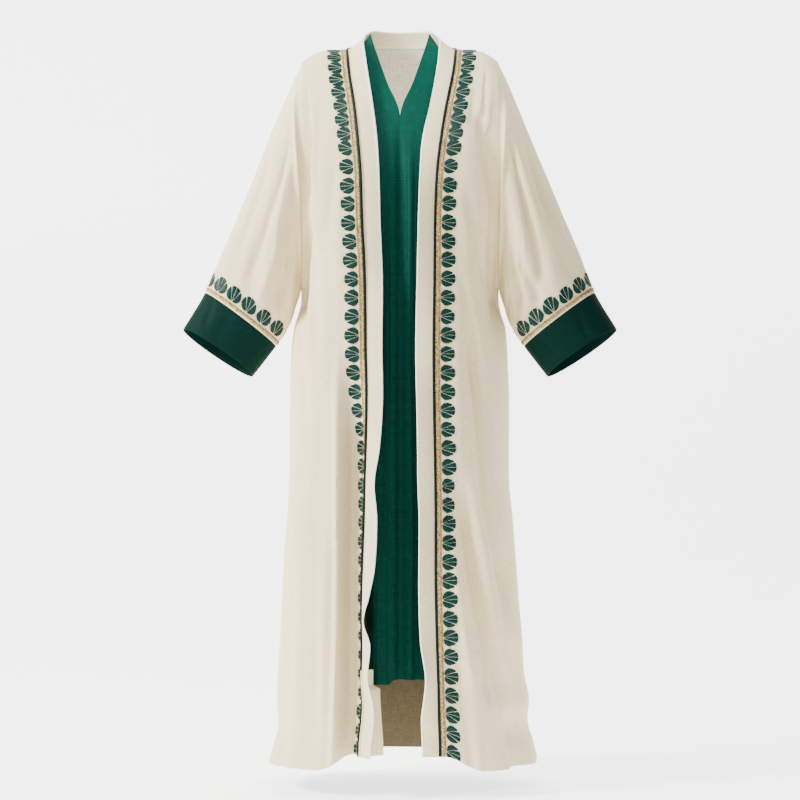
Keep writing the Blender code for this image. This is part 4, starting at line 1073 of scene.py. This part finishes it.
def bead(squash):
    """Small six-sided bead of radius 1: two rings and two tips."""
    turn = np.linspace(0, 2 * pi, 7)[:-1]
    ring = np.column_stack([0.87 * np.cos(turn), 0.87 * np.sin(turn), np.full(6, 0.5 * squash)])
    points = np.concatenate([[(0, 0, -squash)], ring * (1, 1, -1), ring, [(0, 0, squash)]])
    a = 1 + np.arange(6)
    b = np.roll(a, -1)
    corners = ((0 * a, b, a), (a, b, b + 6), (a, b + 6, a + 6), (0 * a + 13, a + 6, b + 6))
    return points, np.concatenate([np.column_stack(corner) for corner in corners])


def string_beads(strip, places, radii, squash=0.75, grow=1.0):
    """Beads on a strip at places (s, d), one radius for each; grow lengthens them along the seam."""
    points, faces = bead(squash)
    parts = []
    for (s, d), r in zip(places, radii):
        lift = BEAD_LIFT + r * squash * 0.6 + points[:, 2] * r
        parts.append((strip.at(s + points[:, 1] * r * grow, d + points[:, 0] * r, lift), faces))
    return joined(parts)


def add_trim(name, made, material, replaced=()):
    """Add a trim's mesh to the scene."""
    piece = make_mesh(name, made[0], made[1], material, smooth=50)
    if replaced:
        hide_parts(*replaced)
    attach(piece, "root")


def braid(strip, width):
    """Flat braid with a ridged, plaited top."""
    rows = np.arange(0, strip.run[-1], BRAID_RIDGE)
    rows = np.append(rows, strip.run[-1])
    v = np.linspace(0, 1, 9)
    body = np.sqrt(np.clip(np.minimum(v, 1 - v) / 0.12, 0, 1))
    plait = 0.00022 * np.cos(rows[:, None] / BRAID_RIDGE * pi + v[None, :] * 8 * pi)
    across = BRAID_START + (width - BRAID_START) * v[None, :]
    top = strip.at(rows[:, None], across, 0.0002 + (0.0011 + plait) * body[None, :])
    return top.reshape(-1, 3), quads(len(rows), len(v))


def chain(start, end, pitch):
    """Places along a line of beads."""
    return start + np.arange(int((end - start) / pitch) + 1) * pitch


def lay_trim(word, motifs, first, last, width, scale, replaced, flip, closed=False, tight=0.0):
    """Braid, motifs and beads along one strip; tight is the step of its first eight motifs."""
    strip = strips[word]
    end = strip.run[-1]

    def add(name, made, look, solids=()):
        points, faces = made
        add_trim(name, (points, faces[:, ::-1] if flip else faces), look, solids)

    add("braid_" + word + "_woven", braid(strip, width), BRAID_LOOK, replaced)
    places = np.linspace(first, end - last, motifs, endpoint=not closed)
    if tight:
        wide = np.linspace(first + tight * TIGHT_MOTIFS, end - last, motifs - TIGHT_MOTIFS)
        places = np.append(first + tight * np.arange(TIGHT_MOTIFS), wide)
    for part, shape, look, slot in MOTIF_PARTS:
        add("motif_" + part + "_" + word, spread(strip, shape, places, scale), look)
    gold = [(s, width - 0.0018) for s in chain(0.001, end - 0.001, GOLD_PITCH)]
    gold += [(s, width - 0.0038) for s in chain(0.0025, end - 0.001, GOLD_PITCH)]
    beads = string_beads(strip, gold, [GOLD_RADIUS] * len(gold), 0.8, 1.15)
    add("braid_beads_" + word, beads, GOLD_LOOK)
    cream, sizes = [], []
    step = places[1] - places[0]
    for s in places - step / 2 if closed else (places[1:] + places[:-1]) / 2:
        for _ in range(SEED_COUNT):
            d = random.uniform(0.0, 1.0)
            spot = s + random.uniform(-1, 1) * 0.0085 * (1 - 0.75 * d)
            if 0.001 < spot < end - 0.001:
                cream.append((spot, width + 0.0012 + d * 0.013))
                sizes.append(random.uniform(*SEED_RADII))
    add("seed_beads_" + word, string_beads(strip, cream, sizes), SEED_LOOK)


for side, word in SIDES:
    lay_trim("front_" + word, FRONT_MOTIFS, 0.011, 0.010, BRAID_WIDTH, 1.04, ["braid_front_" + word],
             side < 0, tight=TIGHT_STEP)
    lay_trim("sleeve_" + word, SLEEVE_MOTIFS, 0.019, 0.0, CUFF_BRAID_WIDTH, 1.10,
             ["braid_sleeve_" + word], side > 0, True)
lay_trim("neck", NECK_MOTIFS, 0.022, 0.022, BRAID_WIDTH, 0.98, ["braid_neck"], False)


# Piping cord in the band's seam
for side, word in SIDES:
    line = bands[side][:, 0]
    normals = grid_normals(bands[side], side > 0)[:, 0]
    course = unit(np.gradient(line, axis=0))
    sideways = unit(np.cross(course, normals))
    turn = np.linspace(0, 2 * pi, 9)
    off = np.sin(turn) * PIPING_RADIUS + PIPING_LIFT
    grid = line[:, None] + (sideways[:, None] * (np.cos(turn) * PIPING_RADIUS)[:, None]
                            + normals[:, None] * off[:, None])
    made = grid.reshape(-1, 3), quads(len(line), 9)
    add_trim("piping_cord_" + word, made, PIPING_LOOK, ["piping_" + word])

# Floor, backdrop, light and camera
FLOOR_Z = -1.47


def backdrop():
    """Pale floor that curves up into a wall."""
    profile = [(-9.0, FLOOR_Z), (1.5, FLOOR_Z)]
    for k in range(1, 13):
        angle = pi / 2 * k / 12
        profile.append((1.5 + 1.5 * np.sin(angle), FLOOR_Z + 1.5 * (1 - np.cos(angle))))
    profile.append((3.0, 6.0))
    points = [(x, y, z) for y, z in profile for x in (-9.0, 9.0)]
    faces = [(2 * k, 2 * k + 1, 2 * k + 3, 2 * k + 2) for k in range(len(profile) - 1)]
    look = Look("backdrop_look", 0.9, 0.5)
    ahead = look.axis(look.add("ShaderNodeTexCoord", {}, "Object"), "Y")
    look.feed(look.shader, {"Base Color": (0.95, 0.95, 0.95, 1.0), "Emission Strength": 1.0,
                            "Emission Color": look.level(ahead, -1.6, -0.3, 0.1, 2.4)})
    return make_mesh("backdrop", points, faces, look.material)


backdrop()


def area_light(name, place, aim, size, power, colour=(1, 1, 1), spread=pi):
    """Add a soft square light that points at a place."""
    lamp = bpy.data.lights.new(name, "AREA")
    lamp.shape = "SQUARE"
    lamp.size = size
    lamp.energy = power
    lamp.color = colour
    lamp.spread = spread
    holder = bpy.data.objects.new(name, lamp)
    bpy.context.collection.objects.link(holder)
    holder.location = place
    direction = np.array(aim) - np.array(place)
    flat = np.hypot(direction[0], direction[1])
    holder.rotation_euler = (np.arctan2(flat, -direction[2]), 0, np.arctan2(-direction[0], direction[1]))


area_light("key", (-3.7, -1.7, 1.8), (0, 0, -0.6), 1.2, 560, (1.0, 0.985, 0.95))
area_light("front", (-0.4, -4.6, 1.5), (0, 0.1, -0.2), 1.6, 62, (1.0, 0.99, 0.97))
area_light("fill", (3.8, -0.9, 1.4), (0, 0, -0.5), 1.6, 30, (0.99, 0.99, 1.0))
area_light("neck", (0.0, -1.7, 0.9), (0, 0.06, -0.02), 0.4, 1.0, (1.0, 0.99, 0.97), 0.32)
area_light("top", (0.0, 0.6, 3.4), (0, 0.4, -0.8), 3.0, 60)

world = bpy.data.worlds.new("studio")
world.use_nodes = True
world.node_tree.nodes["Background"].inputs["Color"].default_value = (1.0, 1.0, 1.0, 1.0)
world.node_tree.nodes["Background"].inputs["Strength"].default_value = 0.08
bpy.context.scene.world = world

lens = bpy.data.cameras.new("camera")
lens.sensor_width = 36
lens.lens = 108
camera = bpy.data.objects.new("camera", lens)
bpy.context.collection.objects.link(camera)
camera.location = (0, -4.8, -0.70)
camera.rotation_euler = (pi / 2, 0, 0)
bpy.context.scene.camera = camera
